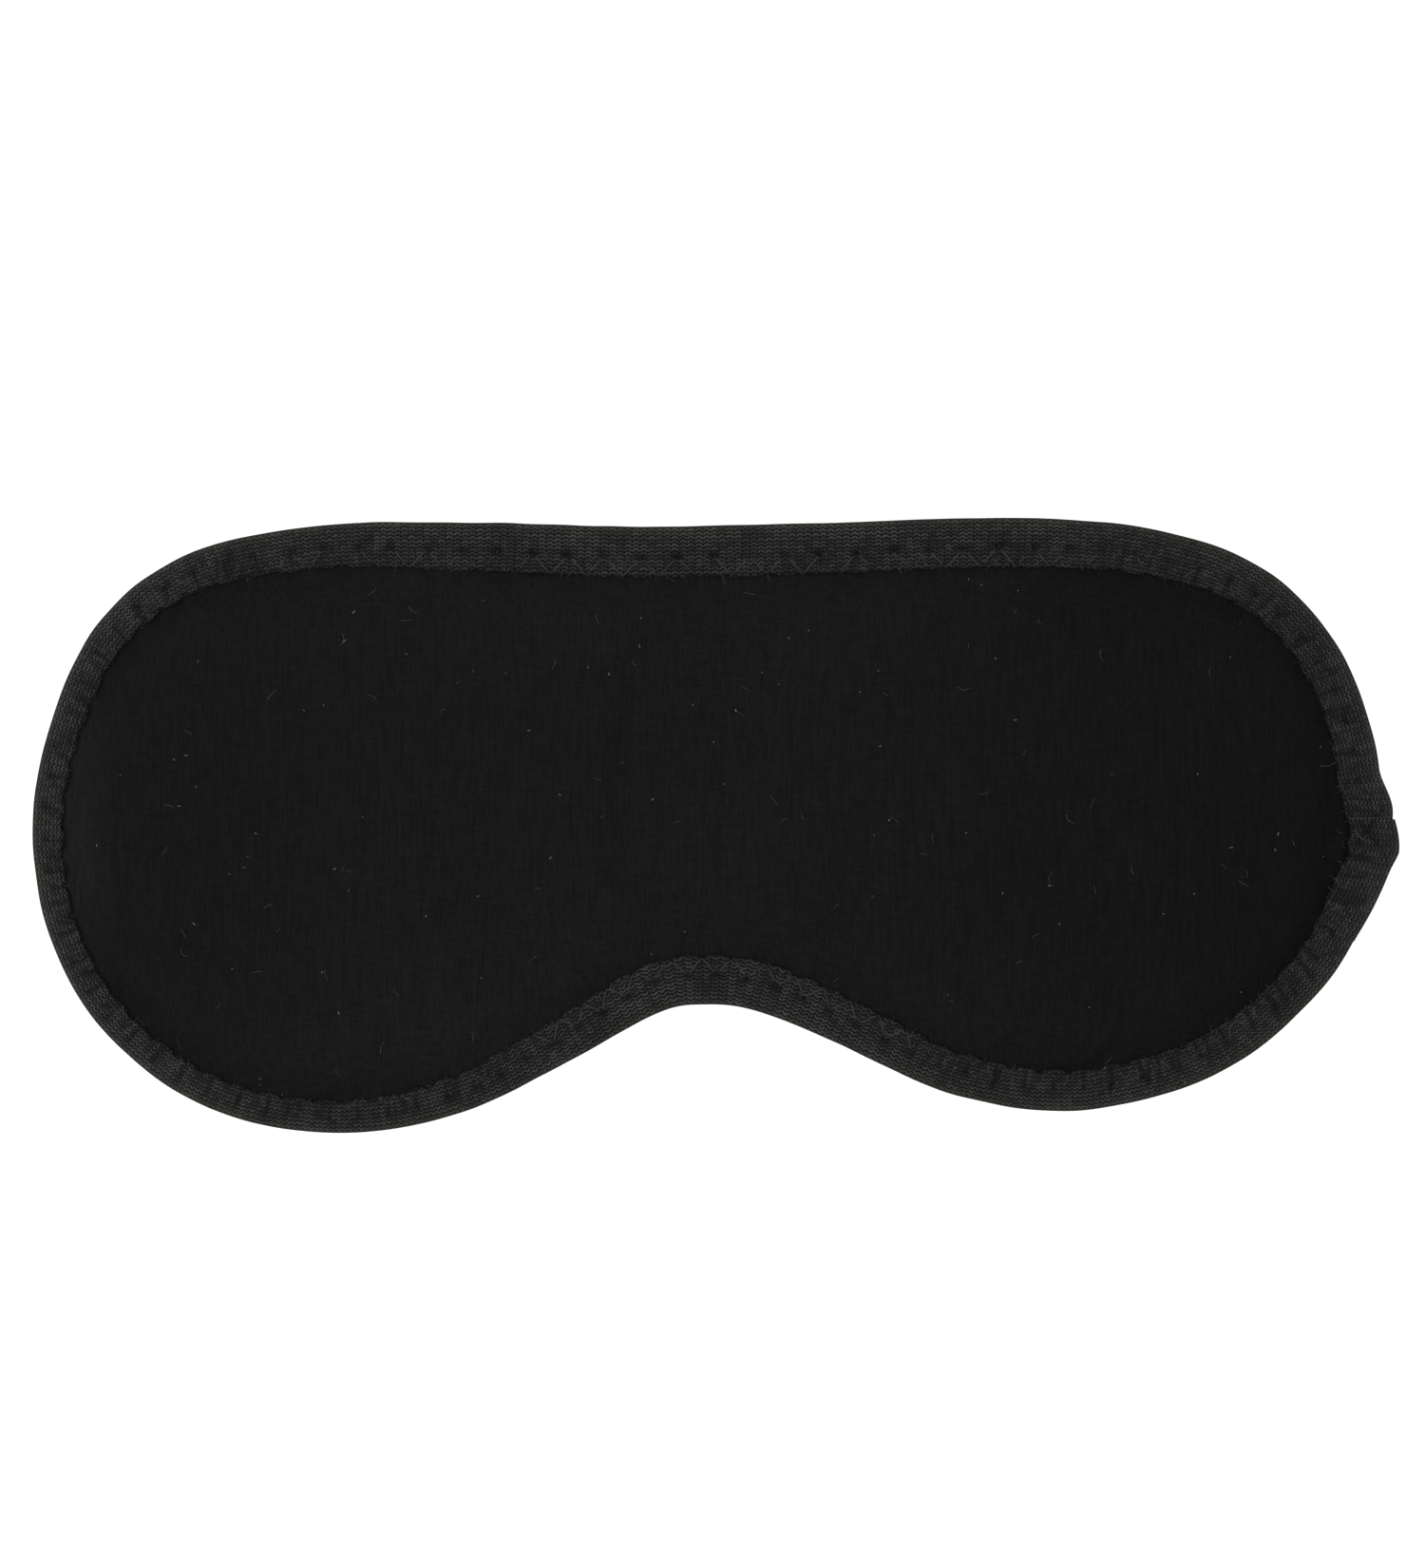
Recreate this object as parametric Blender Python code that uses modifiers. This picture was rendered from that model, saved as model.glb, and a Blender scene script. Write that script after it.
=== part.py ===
"""A sleep eye mask, upright as it is worn: the front faces -Y, +Z is up and +X is the wearer's left.

The origin is on the skin side of the lining, midway between the wings and level with the strap.
The panel is a sandwich of knit, film, foam and cloth inside a folded edge tape, and its wings sweep
back towards the head. An elastic strap makes the loop behind it, through a ring and a slider.
"""

from math import cos, pi, sin

import bmesh
import bpy
from mathutils import Vector

# Outline of the panel seen from the front, clockwise from the top: x, z, and the width of tape that
# shows there. The two lobes are cut to slightly different depths, as the real pattern is.
OUTLINE = [
    (-0.0090, 0.0448, 0.0074), (0.0190, 0.0454, 0.0074), (0.0440, 0.0461, 0.0072),
    (0.0650, 0.0448, 0.0068), (0.0821, 0.0394, 0.0064), (0.0937, 0.0287, 0.0062),
    (0.0999, 0.0146, 0.0062), (0.1014, 0.0005, 0.0062), (0.0986, -0.0146, 0.0061),
    (0.0902, -0.0272, 0.0060), (0.0760, -0.0378, 0.0059), (0.0560, -0.0430, 0.0058),
    (0.0370, -0.0406, 0.0060), (0.0193, -0.0328, 0.0066), (0.0080, -0.0282, 0.0070),
    (-0.0005, -0.0271, 0.0071), (-0.0080, -0.0285, 0.0070), (-0.0207, -0.0355, 0.0062),
    (-0.0379, -0.0436, 0.0052), (-0.0565, -0.0464, 0.0046), (-0.0750, -0.0427, 0.0045),
    (-0.0895, -0.0326, 0.0044), (-0.0985, -0.0187, 0.0043), (-0.1017, -0.0020, 0.0043),
    (-0.0994, 0.0138, 0.0045), (-0.0922, 0.0298, 0.0050), (-0.0790, 0.0404, 0.0056),
    (-0.0590, 0.0449, 0.0062), (-0.0360, 0.0454, 0.0070),
]
OUTLINE_STEPS = 60
FINE_STEPS = 720

# The wings: flat over the nose, then swept back.
FLAT_HALF = 0.015
HALF_WIDTH = 0.101
SWEEP_BACK = 0.012

# The sandwich, measured forwards from the skin side.
PANEL_THICK = 0.0052
LINING_THICK = 0.0006
FACE_THICK = 0.0008
FILM_THICK = 0.0003
GAP = 0.0003
PINCH = 0.0013
PINCH_RUN = 0.008
CORE_INSET = 0.0025

# The edge tape, a folded channel round the pinched rim.
TAPE_THICK = 0.0007
TAPE_FOLD_RADIUS = 0.00195
TAPE_FOLD_STEPS = 6
RIM_INSET = 0.0015
LAP_START = (0.1010, 0.0060)
LAP_CORNER = (0.1015, -0.0045)
LAP_END = (0.0975, -0.0165)
LAP_LIFT = 0.0011
LAP_CORNER_LIFT = 0.0026

# The zigzag seam.
THREAD_RADIUS = 0.0002
THREAD_GAP = 0.0001
ZIGZAG_COUNT = 98
ZIGZAG_DEPTH = 0.0031
ZIGZAG_EDGE = 0.0003

# The strap.
STRAP_WIDTH = 0.020
STRAP_THICK = 0.0008
STRAP_X = 0.093
STITCH_START_X = 0.074
TURN_RADIUS = 0.006
SKIN_GAP = 0.0004
SWING_AXIS_Y = 0.020
RUN_START_Y = 0.0313
RUN_END_Y = 0.098
BACK_DEPTH = 0.038
BACK_STEPS = 24

# The ring and the slider.
BAR_RADIUS = 0.0007
FOLD_RADIUS = BAR_RADIUS + 0.0001 + STRAP_THICK / 2
RING_FRONT_Y = 0.036
RING_BACK_Y = 0.044
RING_HALF_HEIGHT = 0.012
RING_CORNER = 0.002
SLIDER_Y = 0.060
SLIDER_HALF = 0.0055
SLIDER_HALF_HEIGHT = 0.0115
SLIDER_RAIL = 0.0018
SLIDER_RAIL_THICK = 0.0016
SLIP_GAP = 0.0002
END_BAR_OUT = -(STRAP_THICK / 2 + SLIP_GAP + BAR_RADIUS)
CENTRE_BAR_OUT = STRAP_THICK + SLIP_GAP + FOLD_RADIUS
TAB_END_Y = 0.028
RETURN_SPLIT_Y = 0.0465
# Behind the ring the strap settles onto its straight line: (share of FOLD_RADIUS off it, y past the bar).
SETTLING = ((0.7, 0.0035), (0.2, 0.0075), (0.0, 0.0090))
LOOP_START_Y = 0.052
LOOP_START_OUT = 0.0023
LOOP_KNEE_IN = 0.0006
LOOP_KNEE_Y = 0.0565
LOOP_INNER_END_Y = 0.0545

# The bar tacks.
TACK_X = 0.0795
TACK_REACH = 0.0020
TACK_HALF_HEIGHT = 0.008
TACK_SWINGS = 20

BLACK_KNIT = (0.0095, 0.0095, 0.0100)
CHARCOAL_TAPE = (0.0210, 0.0210, 0.0205)
GREY_FOAM = (0.030, 0.030, 0.032)
BLACK_FILM = (0.004, 0.004, 0.004)
BLACK_ELASTIC = (0.012, 0.012, 0.012)
BLACK_NYLON = (0.010, 0.010, 0.011)

MODEL = "sleep_eye_mask"
JOINED = "joined_shapes"


def clear_scene():
    for item in list(bpy.data.objects):
        bpy.data.objects.remove(item)


def material(name, colour, roughness):
    """A Principled material of one colour."""
    made = bpy.data.materials.new(name)
    made.use_nodes = True
    shader = made.node_tree.nodes["Principled BSDF"]
    shader.inputs["Base Color"].default_value = (*colour, 1.0)
    shader.inputs["Roughness"].default_value = roughness
    shader.inputs["Metallic"].default_value = 0.0
    made.diffuse_color = (*colour, 1.0)
    return made


def add(name, data, colour, roughness):
    """Puts a mesh or curve into the model as a named object with its own material."""
    made = bpy.data.objects.new(name, data)
    data.materials.append(material(name, colour, roughness))
    bpy.data.collections[MODEL].objects.link(made)
    return made


def mesh_from(name, build):
    """A mesh that build(bm) fills, with its faces turned outwards."""
    bm = bmesh.new()
    build(bm)
    bmesh.ops.recalc_face_normals(bm, faces=bm.faces)
    data = bpy.data.meshes.new(name)
    bm.to_mesh(data)
    bm.free()
    return data


def catmull_rom(before, start, end, after, t):
    """A point between start and end on the smooth curve through all four."""
    return 0.5 * (
        2 * start
        + (end - before) * t
        + (2 * before - 5 * start + 4 * end - after) * t**2
        + (3 * start - before - 3 * end + after) * t**3
    )


def outline_samples(count):
    """Evenly spaced points on the outline: (point, outward normal, tape width), in the XZ plane."""
    corners = [Vector(corner) for corner in OUTLINE]
    spans = len(corners)
    fine = []
    for step in range(FINE_STEPS):
        place = step * spans / FINE_STEPS
        i = int(place)
        four = [corners[(i + k) % spans] for k in (-1, 0, 1, 2)]
        fine.append(catmull_rom(*four, place - i))
    lengths = [0.0]
    for i in range(FINE_STEPS):
        ahead = fine[(i + 1) % FINE_STEPS]
        lengths.append(lengths[-1] + (ahead.xy - fine[i].xy).length)
    samples = []
    i = 0
    for step in range(count):
        wanted = lengths[-1] * step / count
        while lengths[i + 1] < wanted:
            i += 1
        share = (wanted - lengths[i]) / (lengths[i + 1] - lengths[i])
        spot = fine[i].lerp(fine[(i + 1) % FINE_STEPS], share)
        run = (fine[(i + 2) % FINE_STEPS].xy - fine[i - 1].xy).normalized()
        samples.append((spot.xy, Vector((-run.y, run.x)), spot.z))
    return samples


def sweep(x):
    """How far the wing has swept back at this x."""
    past = max(0.0, abs(x) - FLAT_HALF)
    return SWEEP_BACK * (past / (HALF_WIDTH - FLAT_HALF)) ** 2


def smooth(share):
    share = min(1.0, max(0.0, share))
    return share * share * (3 - 2 * share)


def pinched(inset, width):
    """1 under the tape, where the cloths are pressed together, and 0 from PINCH_RUN inside it."""
    return 1 - smooth((inset - width) / PINCH_RUN)


def place(spot, depth):
    """A point in front of the skin side by depth."""
    return Vector((spot.x, sweep(spot.x) - depth, spot.y))


def rings(samples):
    """Rings of (spot, pinch) from the rim inwards, which every sheet shares so that they nest."""
    made = []
    for extra in (None, 0.0, CORE_INSET, 0.0055, 0.0095):
        ring = []
        for spot, normal, width in samples:
            inset = RIM_INSET if extra is None else width + extra
            ring.append((spot - normal * inset, pinched(inset, width)))
        made.append(ring)
    for scale in (0.8, 0.5, 0.15):
        made.append([(spot * scale, 0.0) for spot, pinch in made[4]])
    return made


def layer(name, first_ring, back, front, colour, roughness):
    """One sheet of the sandwich: back(pinch) and front(pinch) are its two depths from the skin side."""
    levels = rings(outline_samples(OUTLINE_STEPS))[first_ring:]

    def build(bm):
        sides = []
        for depth in (back, front):
            loops = [
                [bm.verts.new(place(spot, depth(pinch))) for spot, pinch in ring]
                for ring in levels
            ]
            middle = bm.verts.new(place(Vector((0.0, 0.0)), depth(0.0)))
            for outer, inner in zip(loops, loops[1:]):
                bridge(bm, outer, inner)
            for i, vert in enumerate(loops[-1]):
                bm.faces.new((loops[-1][i - 1], vert, middle))
            sides.append(loops[0])
        bridge(bm, *sides)

    return add(name, mesh_from(name, build), colour, roughness)


def bridge(bm, first, second):
    """Joins two closed loops of the same count with quads."""
    for i in range(len(first)):
        bm.faces.new((first[i - 1], first[i], second[i], second[i - 1]))


def lining_front(pinch):
    return PINCH * pinch + LINING_THICK


def film_front(pinch):
    return PANEL_THICK - PINCH * pinch - FACE_THICK - GAP


def make_panel():
    under_tape, inside_tape = 0, 2
    layer(
        "back_lining", under_tape, lambda pinch: PINCH * pinch, lining_front, BLACK_KNIT, 0.9
    )
    layer(
        "foam_pad",
        inside_tape,
        lambda pinch: lining_front(pinch) + GAP,
        lambda pinch: film_front(pinch) - FILM_THICK - GAP,
        GREY_FOAM,
        0.95,
    )
    layer(
        "blackout_liner",
        inside_tape,
        lambda pinch: film_front(pinch) - FILM_THICK,
        film_front,
        BLACK_FILM,
        0.6,
    )
    layer(
        "face_panel",
        under_tape,
        lambda pinch: PANEL_THICK - PINCH * pinch - FACE_THICK,
        lambda pinch: PANEL_THICK - PINCH * pinch,
        BLACK_KNIT,
        0.9,
    )


def channel(width, lift):
    """Middle line of the folded tape: (inset, depth) from the front edge round the fold to the back."""
    middle = PANEL_THICK / 2
    radius = TAPE_FOLD_RADIUS + lift
    nose = TAPE_THICK / 2 - lift
    line = [(width, middle + radius)]
    for step in range(TAPE_FOLD_STEPS + 1):
        turn = pi * step / TAPE_FOLD_STEPS
        line.append((nose + TAPE_FOLD_RADIUS * (1 - sin(turn)), middle + radius * cos(turn)))
    line.append((width, middle - radius))
    return line


def tape(name, samples, lines, closed):
    """A folded tape along the samples; each sample has its own line of (inset, depth)."""

    def build(bm):
        strips = []
        for (spot, normal, width), line in zip(samples, lines):
            strips.append(
                [bm.verts.new(place(spot - normal * inset, depth)) for inset, depth in line]
            )
        for i in range(0 if closed else 1, len(strips)):
            for a, b, c, d in zip(strips[i - 1], strips[i - 1][1:], strips[i][1:], strips[i]):
                bm.faces.new((a, b, c, d))

    made = add(name, mesh_from(name, build), CHARCOAL_TAPE, 0.85)
    solidify(made, TAPE_THICK)


def solidify(item, thickness):
    """Gives an open surface its thickness, half to each side."""
    shell = item.modifiers.new("thickness", "SOLIDIFY")
    shell.thickness = thickness
    shell.offset = 0.0
    shell.use_even_offset = True


def nearest(samples, spot):
    """Index of the sample closest to a spot of the outline."""
    return min(range(len(samples)), key=lambda i: (samples[i][0] - Vector(spot)).length)


def make_binding():
    """The tape all round, and the lap where its other end is folded over it at the wearer's left."""
    samples = outline_samples(OUTLINE_STEPS)
    lines = [channel(width, 0.0) for spot, normal, width in samples]
    tape("edge_binding", samples, lines, closed=True)

    fine = outline_samples(OUTLINE_STEPS * 4)
    first, corner, last = (nearest(fine, spot) for spot in (LAP_START, LAP_CORNER, LAP_END))
    lines = []
    for i in range(first, last + 1):
        rise = (i - first) / (corner - first) if i < corner else (last - i) / (last - corner)
        stand_out = (LAP_CORNER_LIFT - LAP_LIFT) * smooth(rise)
        width = fine[i][2]
        line = channel(width, LAP_LIFT)
        lines.append([(inset - stand_out * (1 - inset / width), depth) for inset, depth in line])
    tape("binding_end_fold", fine[first : last + 1], lines, closed=False)


def thread(name, points, closed):
    """A sewing thread along straight legs."""
    data = bpy.data.curves.new(name, "CURVE")
    data.dimensions = "3D"
    spline = data.splines.new("POLY")
    spline.points.add(len(points) - 1)
    for target, point in zip(spline.points, points):
        target.co = (*point, 1.0)
    spline.use_cyclic_u = closed
    data.bevel_depth = THREAD_RADIUS
    data.bevel_resolution = 0
    data.use_fill_caps = not closed
    return add(name, data, CHARCOAL_TAPE, 0.7)


def make_seams():
    """One zigzag thread on each side of the tape, level with each other as a lockstitch is."""
    samples = outline_samples(2 * ZIGZAG_COUNT)
    above = TAPE_FOLD_RADIUS + TAPE_THICK / 2 + THREAD_GAP + THREAD_RADIUS
    lap_above = above + LAP_LIFT
    lap_z = (LAP_END[1] - 0.004, LAP_START[1] + 0.004)
    for name, side in (("seam_thread_front", 1), ("seam_thread_back", -1)):
        points = []
        for i, (spot, normal, width) in enumerate(samples):
            outer = max(width - ZIGZAG_DEPTH, TAPE_FOLD_RADIUS)
            inset = outer if i % 2 else width - ZIGZAG_EDGE
            on_lap = spot.x > 0 and lap_z[0] < spot.y < lap_z[1]
            raised = lap_above if on_lap else above
            points.append(place(spot - normal * inset, PANEL_THICK / 2 + side * raised))
        thread(name, points, closed=True)


def ribbon(name, path, half_width, thickness, colour, roughness, middle_z=0.0):
    """A flat band on edge: path is its (x, y) line seen from above."""

    def build(bm):
        low, high = (
            [bm.verts.new((x, y, middle_z + side * half_width)) for x, y in path]
            for side in (-1, 1)
        )
        for i in range(1, len(path)):
            bm.faces.new((low[i - 1], low[i], high[i], high[i - 1]))

    made = add(name, mesh_from(name, build), colour, roughness)
    solidify(made, thickness)
    return made


def strap_piece(name, path, thickness=STRAP_THICK):
    return ribbon(name, path, STRAP_WIDTH / 2, thickness, BLACK_ELASTIC, 0.85)


def sewn_line(side, off_skin):
    """The stretch that lies on the lining, from its cut end outwards."""
    end_x = STRAP_X - TURN_RADIUS
    line = []
    for step in range(5):
        x = STITCH_START_X + (end_x - STITCH_START_X) * step / 4
        line.append((side * x, sweep(x) + off_skin))
    return line


def turn_line(side, off_skin, offset, end_y):
    """From the sewn stretch round the quarter turn and straight back, offset away from the head."""
    centre_x = STRAP_X - TURN_RADIUS
    centre_y = sweep(centre_x) + off_skin + TURN_RADIUS
    radius = TURN_RADIUS + offset
    line = []
    for step in range(6):
        turn = (pi / 2) * (step + 0.3) / 5.3
        line.append((side * (centre_x + radius * sin(turn)), centre_y - radius * cos(turn)))
    line.append((side * (STRAP_X + offset), end_y))
    return line


def half_turn(centre_x, centre_y, radius, facing, steps=8):
    """Points round a bar, from its outer side to its inner side, passing it on the facing side (+1 is +Y)."""
    line = []
    for step in range(steps + 1):
        turn = pi * step / steps
        line.append((centre_x + radius * cos(turn), centre_y + facing * radius * sin(turn)))
    return line


def make_strap():
    on_skin = SKIN_GAP + STRAP_THICK / 2
    strap_piece("strap_end_left", sewn_line(-1, on_skin))
    strap_piece("strap_flex_left", turn_line(-1, on_skin, 0.0, RUN_START_Y - GAP))
    strap_piece("strap_left_run", [(-STRAP_X, RUN_START_Y), (-STRAP_X, RUN_END_Y)])

    back = []
    for step in range(BACK_STEPS + 1):
        turn = pi * step / BACK_STEPS
        back.append((STRAP_X * cos(turn), RUN_END_Y + GAP + BACK_DEPTH * sin(turn)))
    strap_piece("strap_back_run", back)

    bar = (STRAP_X, RING_BACK_Y)
    fold = half_turn(*bar, FOLD_RADIUS, -1)
    settling = [(STRAP_X - FOLD_RADIUS * off, RING_BACK_Y + past) for off, past in SETTLING]
    start, end = (STRAP_X + FOLD_RADIUS, RETURN_SPLIT_Y - GAP), (STRAP_X, RUN_END_Y)
    strap_piece("strap_right_run", [start, *fold, *settling, end])

    outer = STRAP_X + CENTRE_BAR_OUT + FOLD_RADIUS
    split = STRAP_X + LOOP_START_OUT
    strap_piece(
        "strap_return", [(STRAP_X + FOLD_RADIUS, RETURN_SPLIT_Y), (split, LOOP_START_Y - GAP)]
    )
    loop = half_turn(STRAP_X + CENTRE_BAR_OUT, SLIDER_Y, FOLD_RADIUS, 1)
    inner_end = (STRAP_X + CENTRE_BAR_OUT - FOLD_RADIUS * 0.2, LOOP_INNER_END_Y)
    knee = (outer - LOOP_KNEE_IN, LOOP_KNEE_Y)
    strap_piece("strap_end_loop", [(split, LOOP_START_Y), knee, *loop, inner_end])


def make_ring_tab():
    """A short elastic folded round the ring, with both layers sewn down together."""
    layers = 2 * STRAP_THICK + SLIP_GAP
    on_skin = SKIN_GAP + layers / 2
    strap_piece("ring_tab_end", sewn_line(1, on_skin), layers)
    apart = (STRAP_THICK + SLIP_GAP) / 2
    fold = half_turn(STRAP_X, RING_FRONT_Y, FOLD_RADIUS, 1)
    outer_layer = turn_line(1, on_skin, apart, TAB_END_Y)
    inner_layer = turn_line(1, on_skin, -apart, TAB_END_Y)
    strap_piece("ring_tab_flex", [*outer_layer, *fold, *reversed(inner_layer)])


def zigzag_tack(name, corner, along, up, out):
    """A dense bar tack: it climbs along up and swings by along, and lies off the cloth by out."""
    points = []
    for i in range(TACK_SWINGS + 1):
        swing = along if i % 2 else Vector((0, 0, 0))
        points.append(corner + up * (i / TACK_SWINGS) + swing + out)
    return thread(name, points, closed=False)


def make_tacks():
    tall = Vector((0, 0, 2 * TACK_HALF_HEIGHT))
    layers = {-1: STRAP_THICK, 1: 2 * STRAP_THICK + SLIP_GAP}
    for name, side in (("bar_tack_left", -1), ("bar_tack_right", 1)):
        top = SKIN_GAP + layers[side] + THREAD_GAP + THREAD_RADIUS
        corner = Vector((side * TACK_X, sweep(TACK_X), -TACK_HALF_HEIGHT))
        rise = sweep(TACK_X + TACK_REACH) - sweep(TACK_X)
        along = Vector((side * TACK_REACH, rise, 0))
        zigzag_tack(name, corner, along, tall, Vector((0, top, 0)))
    knee_x = STRAP_X + CENTRE_BAR_OUT + FOLD_RADIUS - LOOP_KNEE_IN
    base = Vector((STRAP_X + LOOP_START_OUT, LOOP_START_Y, -TACK_HALF_HEIGHT))
    run = Vector((knee_x, LOOP_KNEE_Y, -TACK_HALF_HEIGHT)) - base
    out = Vector((run.y, -run.x, 0)).normalized()
    out *= STRAP_THICK / 2 + THREAD_GAP + THREAD_RADIUS
    zigzag_tack("end_loop_tack", base + run * 0.25, run * 0.4, tall, out)


def make_ring():
    """A round bar bent into an oblong, with its long sides upright."""
    data = bpy.data.curves.new("strap_ring", "CURVE")
    data.dimensions = "3D"
    spline = data.splines.new("POLY")
    points = []
    mid_y = (RING_FRONT_Y + RING_BACK_Y) / 2
    half_y = (RING_BACK_Y - RING_FRONT_Y) / 2
    for quarter in range(4):
        for step in range(5):
            turn = (pi / 2) * (quarter + step / 4)
            side_y = 1 if quarter in (0, 3) else -1
            side_z = 1 if quarter in (0, 1) else -1
            y = mid_y + side_y * (half_y - RING_CORNER) + RING_CORNER * cos(turn)
            z = side_z * (RING_HALF_HEIGHT - RING_CORNER) + RING_CORNER * sin(turn)
            points.append((STRAP_X, y, z, 1.0))
    spline.points.add(len(points) - 1)
    for target, point in zip(spline.points, points):
        target.co = point
    spline.use_cyclic_u = True
    data.bevel_depth = BAR_RADIUS
    data.bevel_resolution = 2
    add("strap_ring", data, BLACK_NYLON, 0.35)


def fill_slider_bar(bm):
    bmesh.ops.create_cone(
        bm,
        cap_ends=True,
        segments=12,
        radius1=BAR_RADIUS,
        radius2=BAR_RADIUS,
        depth=2 * SLIDER_HALF_HEIGHT,
    )


def make_slider():
    """Three upright bars between two arched rails. The strap runs straight between them."""
    arch = []
    for step in range(9):
        share = step / 4 - 1
        rise = cos(share * pi / 2) ** 2
        out = END_BAR_OUT + (CENTRE_BAR_OUT - END_BAR_OUT) * rise
        arch.append((STRAP_X + out, SLIDER_Y + share * SLIDER_HALF))
    rails = []
    for name, side in (("strap_slider", 1), ("lower_rail", -1)):
        middle = side * SLIDER_HALF_HEIGHT
        rails.append(
            ribbon(name, arch, SLIDER_RAIL / 2, SLIDER_RAIL_THICK, BLACK_NYLON, 0.35, middle)
        )
    slider, lower = rails
    bars = [lower]
    places = ((-SLIDER_HALF, END_BAR_OUT), (0.0, CENTRE_BAR_OUT), (SLIDER_HALF, END_BAR_OUT))
    for number, (along, out) in enumerate(places):
        name = f"bar_{number + 1}"
        bar = add(name, mesh_from(name, fill_slider_bar), BLACK_NYLON, 0.35)
        bar.location = (STRAP_X + out, SLIDER_Y + along, 0.0)
        bars.append(bar)
    for helper in bars:
        bpy.data.collections[MODEL].objects.unlink(helper)
        bpy.data.collections[JOINED].objects.link(helper)
        helper.hide_render = True
        helper.display_type = "WIRE"
        join = slider.modifiers.new(helper.name, "BOOLEAN")
        join.operation = "UNION"
        join.solver = "EXACT"
        join.object = helper


def group_moving_pieces():
    """Parents each moving piece to an empty on its joint's axis."""
    groups = {
        "strap_swing_axis": ("strap_left_run", "strap_right_run", "strap_ring", "strap_return"),
        "slider_slide_axis": ("strap_slider", "strap_end_loop", "end_loop_tack"),
        "strap_stretch_axis": ("strap_back_run",),
    }
    spots = {
        "strap_swing_axis": (0.0, SWING_AXIS_Y, 0.0),
        "slider_slide_axis": (STRAP_X, SLIDER_Y, 0.0),
        "strap_stretch_axis": (0.0, RUN_END_Y, 0.0),
    }
    for name, members in groups.items():
        pivot = bpy.data.objects.new(name, None)
        pivot.location = spots[name]
        bpy.data.collections[MODEL].objects.link(pivot)
        for member in members:
            item = bpy.data.objects[member]
            item.parent = pivot
            item.location -= Vector(spots[name])
    swing = bpy.data.objects["strap_swing_axis"]
    for name in ("slider_slide_axis", "strap_stretch_axis"):
        bpy.data.objects[name].parent = swing
        bpy.data.objects[name].location -= swing.location


def main():
    clear_scene()
    for name in (MODEL, JOINED):
        bpy.context.scene.collection.children.link(bpy.data.collections.new(name))
    make_panel()
    make_binding()
    make_seams()
    make_strap()
    make_ring_tab()
    make_tacks()
    make_ring()
    make_slider()
    group_moving_pieces()


main()
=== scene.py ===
"""The looks of the sleep eye mask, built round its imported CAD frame.

The mask stands upright as worn: the front faces -Y and +Z is up. Lengths are in metres, and the
strips of tape, strap and thread carry a UV map named "strip" in millimetres: along, across.
"""

from itertools import accumulate
from math import ceil, cos, exp, pi, radians, sin, sqrt
from random import Random

import bmesh
import bpy
import numpy as np
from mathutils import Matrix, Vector, geometry, noise
from mathutils.bvhtree import BVHTree


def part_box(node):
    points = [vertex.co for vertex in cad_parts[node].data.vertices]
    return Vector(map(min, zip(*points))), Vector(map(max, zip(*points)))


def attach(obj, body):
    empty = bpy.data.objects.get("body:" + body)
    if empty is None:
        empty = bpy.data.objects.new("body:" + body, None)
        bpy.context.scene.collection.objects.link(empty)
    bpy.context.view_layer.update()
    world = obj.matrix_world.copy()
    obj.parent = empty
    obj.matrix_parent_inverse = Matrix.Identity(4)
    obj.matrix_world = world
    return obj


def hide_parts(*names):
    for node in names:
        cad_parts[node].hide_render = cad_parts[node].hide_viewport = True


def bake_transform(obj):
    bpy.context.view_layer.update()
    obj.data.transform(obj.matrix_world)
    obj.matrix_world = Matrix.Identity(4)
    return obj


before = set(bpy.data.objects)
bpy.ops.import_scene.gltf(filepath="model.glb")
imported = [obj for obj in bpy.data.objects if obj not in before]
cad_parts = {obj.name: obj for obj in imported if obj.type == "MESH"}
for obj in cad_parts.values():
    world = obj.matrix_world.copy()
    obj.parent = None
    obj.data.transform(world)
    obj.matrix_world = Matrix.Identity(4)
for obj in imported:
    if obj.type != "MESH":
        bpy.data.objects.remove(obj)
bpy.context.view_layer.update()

MM = 0.001

# Outline of the panel from the front, clockwise from the top, in millimetres: x, z, and the width of
# tape that shows.
OUTLINE = [
    (-9.0, 44.8, 7.4), (19.0, 45.4, 7.4), (44.0, 46.1, 7.2), (65.0, 44.8, 6.8), (82.1, 39.4, 6.4),
    (93.7, 28.7, 6.2), (99.9, 14.6, 6.2), (101.4, 0.5, 6.2), (98.6, -14.6, 6.1), (90.2, -27.2, 6.0),
    (76.0, -37.8, 5.9), (56.0, -43.0, 5.8), (37.0, -40.6, 6.0), (19.3, -32.8, 6.6), (8.0, -28.2, 7.0),
    (-0.5, -27.1, 7.1), (-8.0, -28.5, 7.0), (-20.7, -35.5, 6.2), (-37.9, -43.6, 5.2), (-56.5, -46.4, 4.6),
    (-75.0, -42.7, 4.5), (-89.5, -32.6, 4.4), (-98.5, -18.7, 4.3), (-101.7, -2.0, 4.3), (-99.4, 13.8, 4.5),
    (-92.2, 29.8, 5.0), (-79.0, 40.4, 5.6), (-59.0, 44.9, 6.2), (-36.0, 45.4, 7.0),
]
FINE_STEPS = 4000

# Loose fibres: pale specks, fine hairs, and the tape's own fuzz.
SPECKS = 95
HAIRS = 90
FUZZ = 900

# The frame's own numbers: the swept wings, the sandwich and its pinched rim.
FLAT_HALF = 0.015
HALF_WIDTH = 0.101
SWEEP_BACK = 0.012
PANEL_THICK = 0.0052
MIDDLE = PANEL_THICK / 2
PINCH = 0.0013
PINCH_RUN = 0.008
RIM_INSET = 0.0015
LINING_THICK = 0.0006
FACE_THICK = 0.0008
UNDER_STRAP = 0.0003  # the lining rises this much to meet the sewn strap ends

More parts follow.
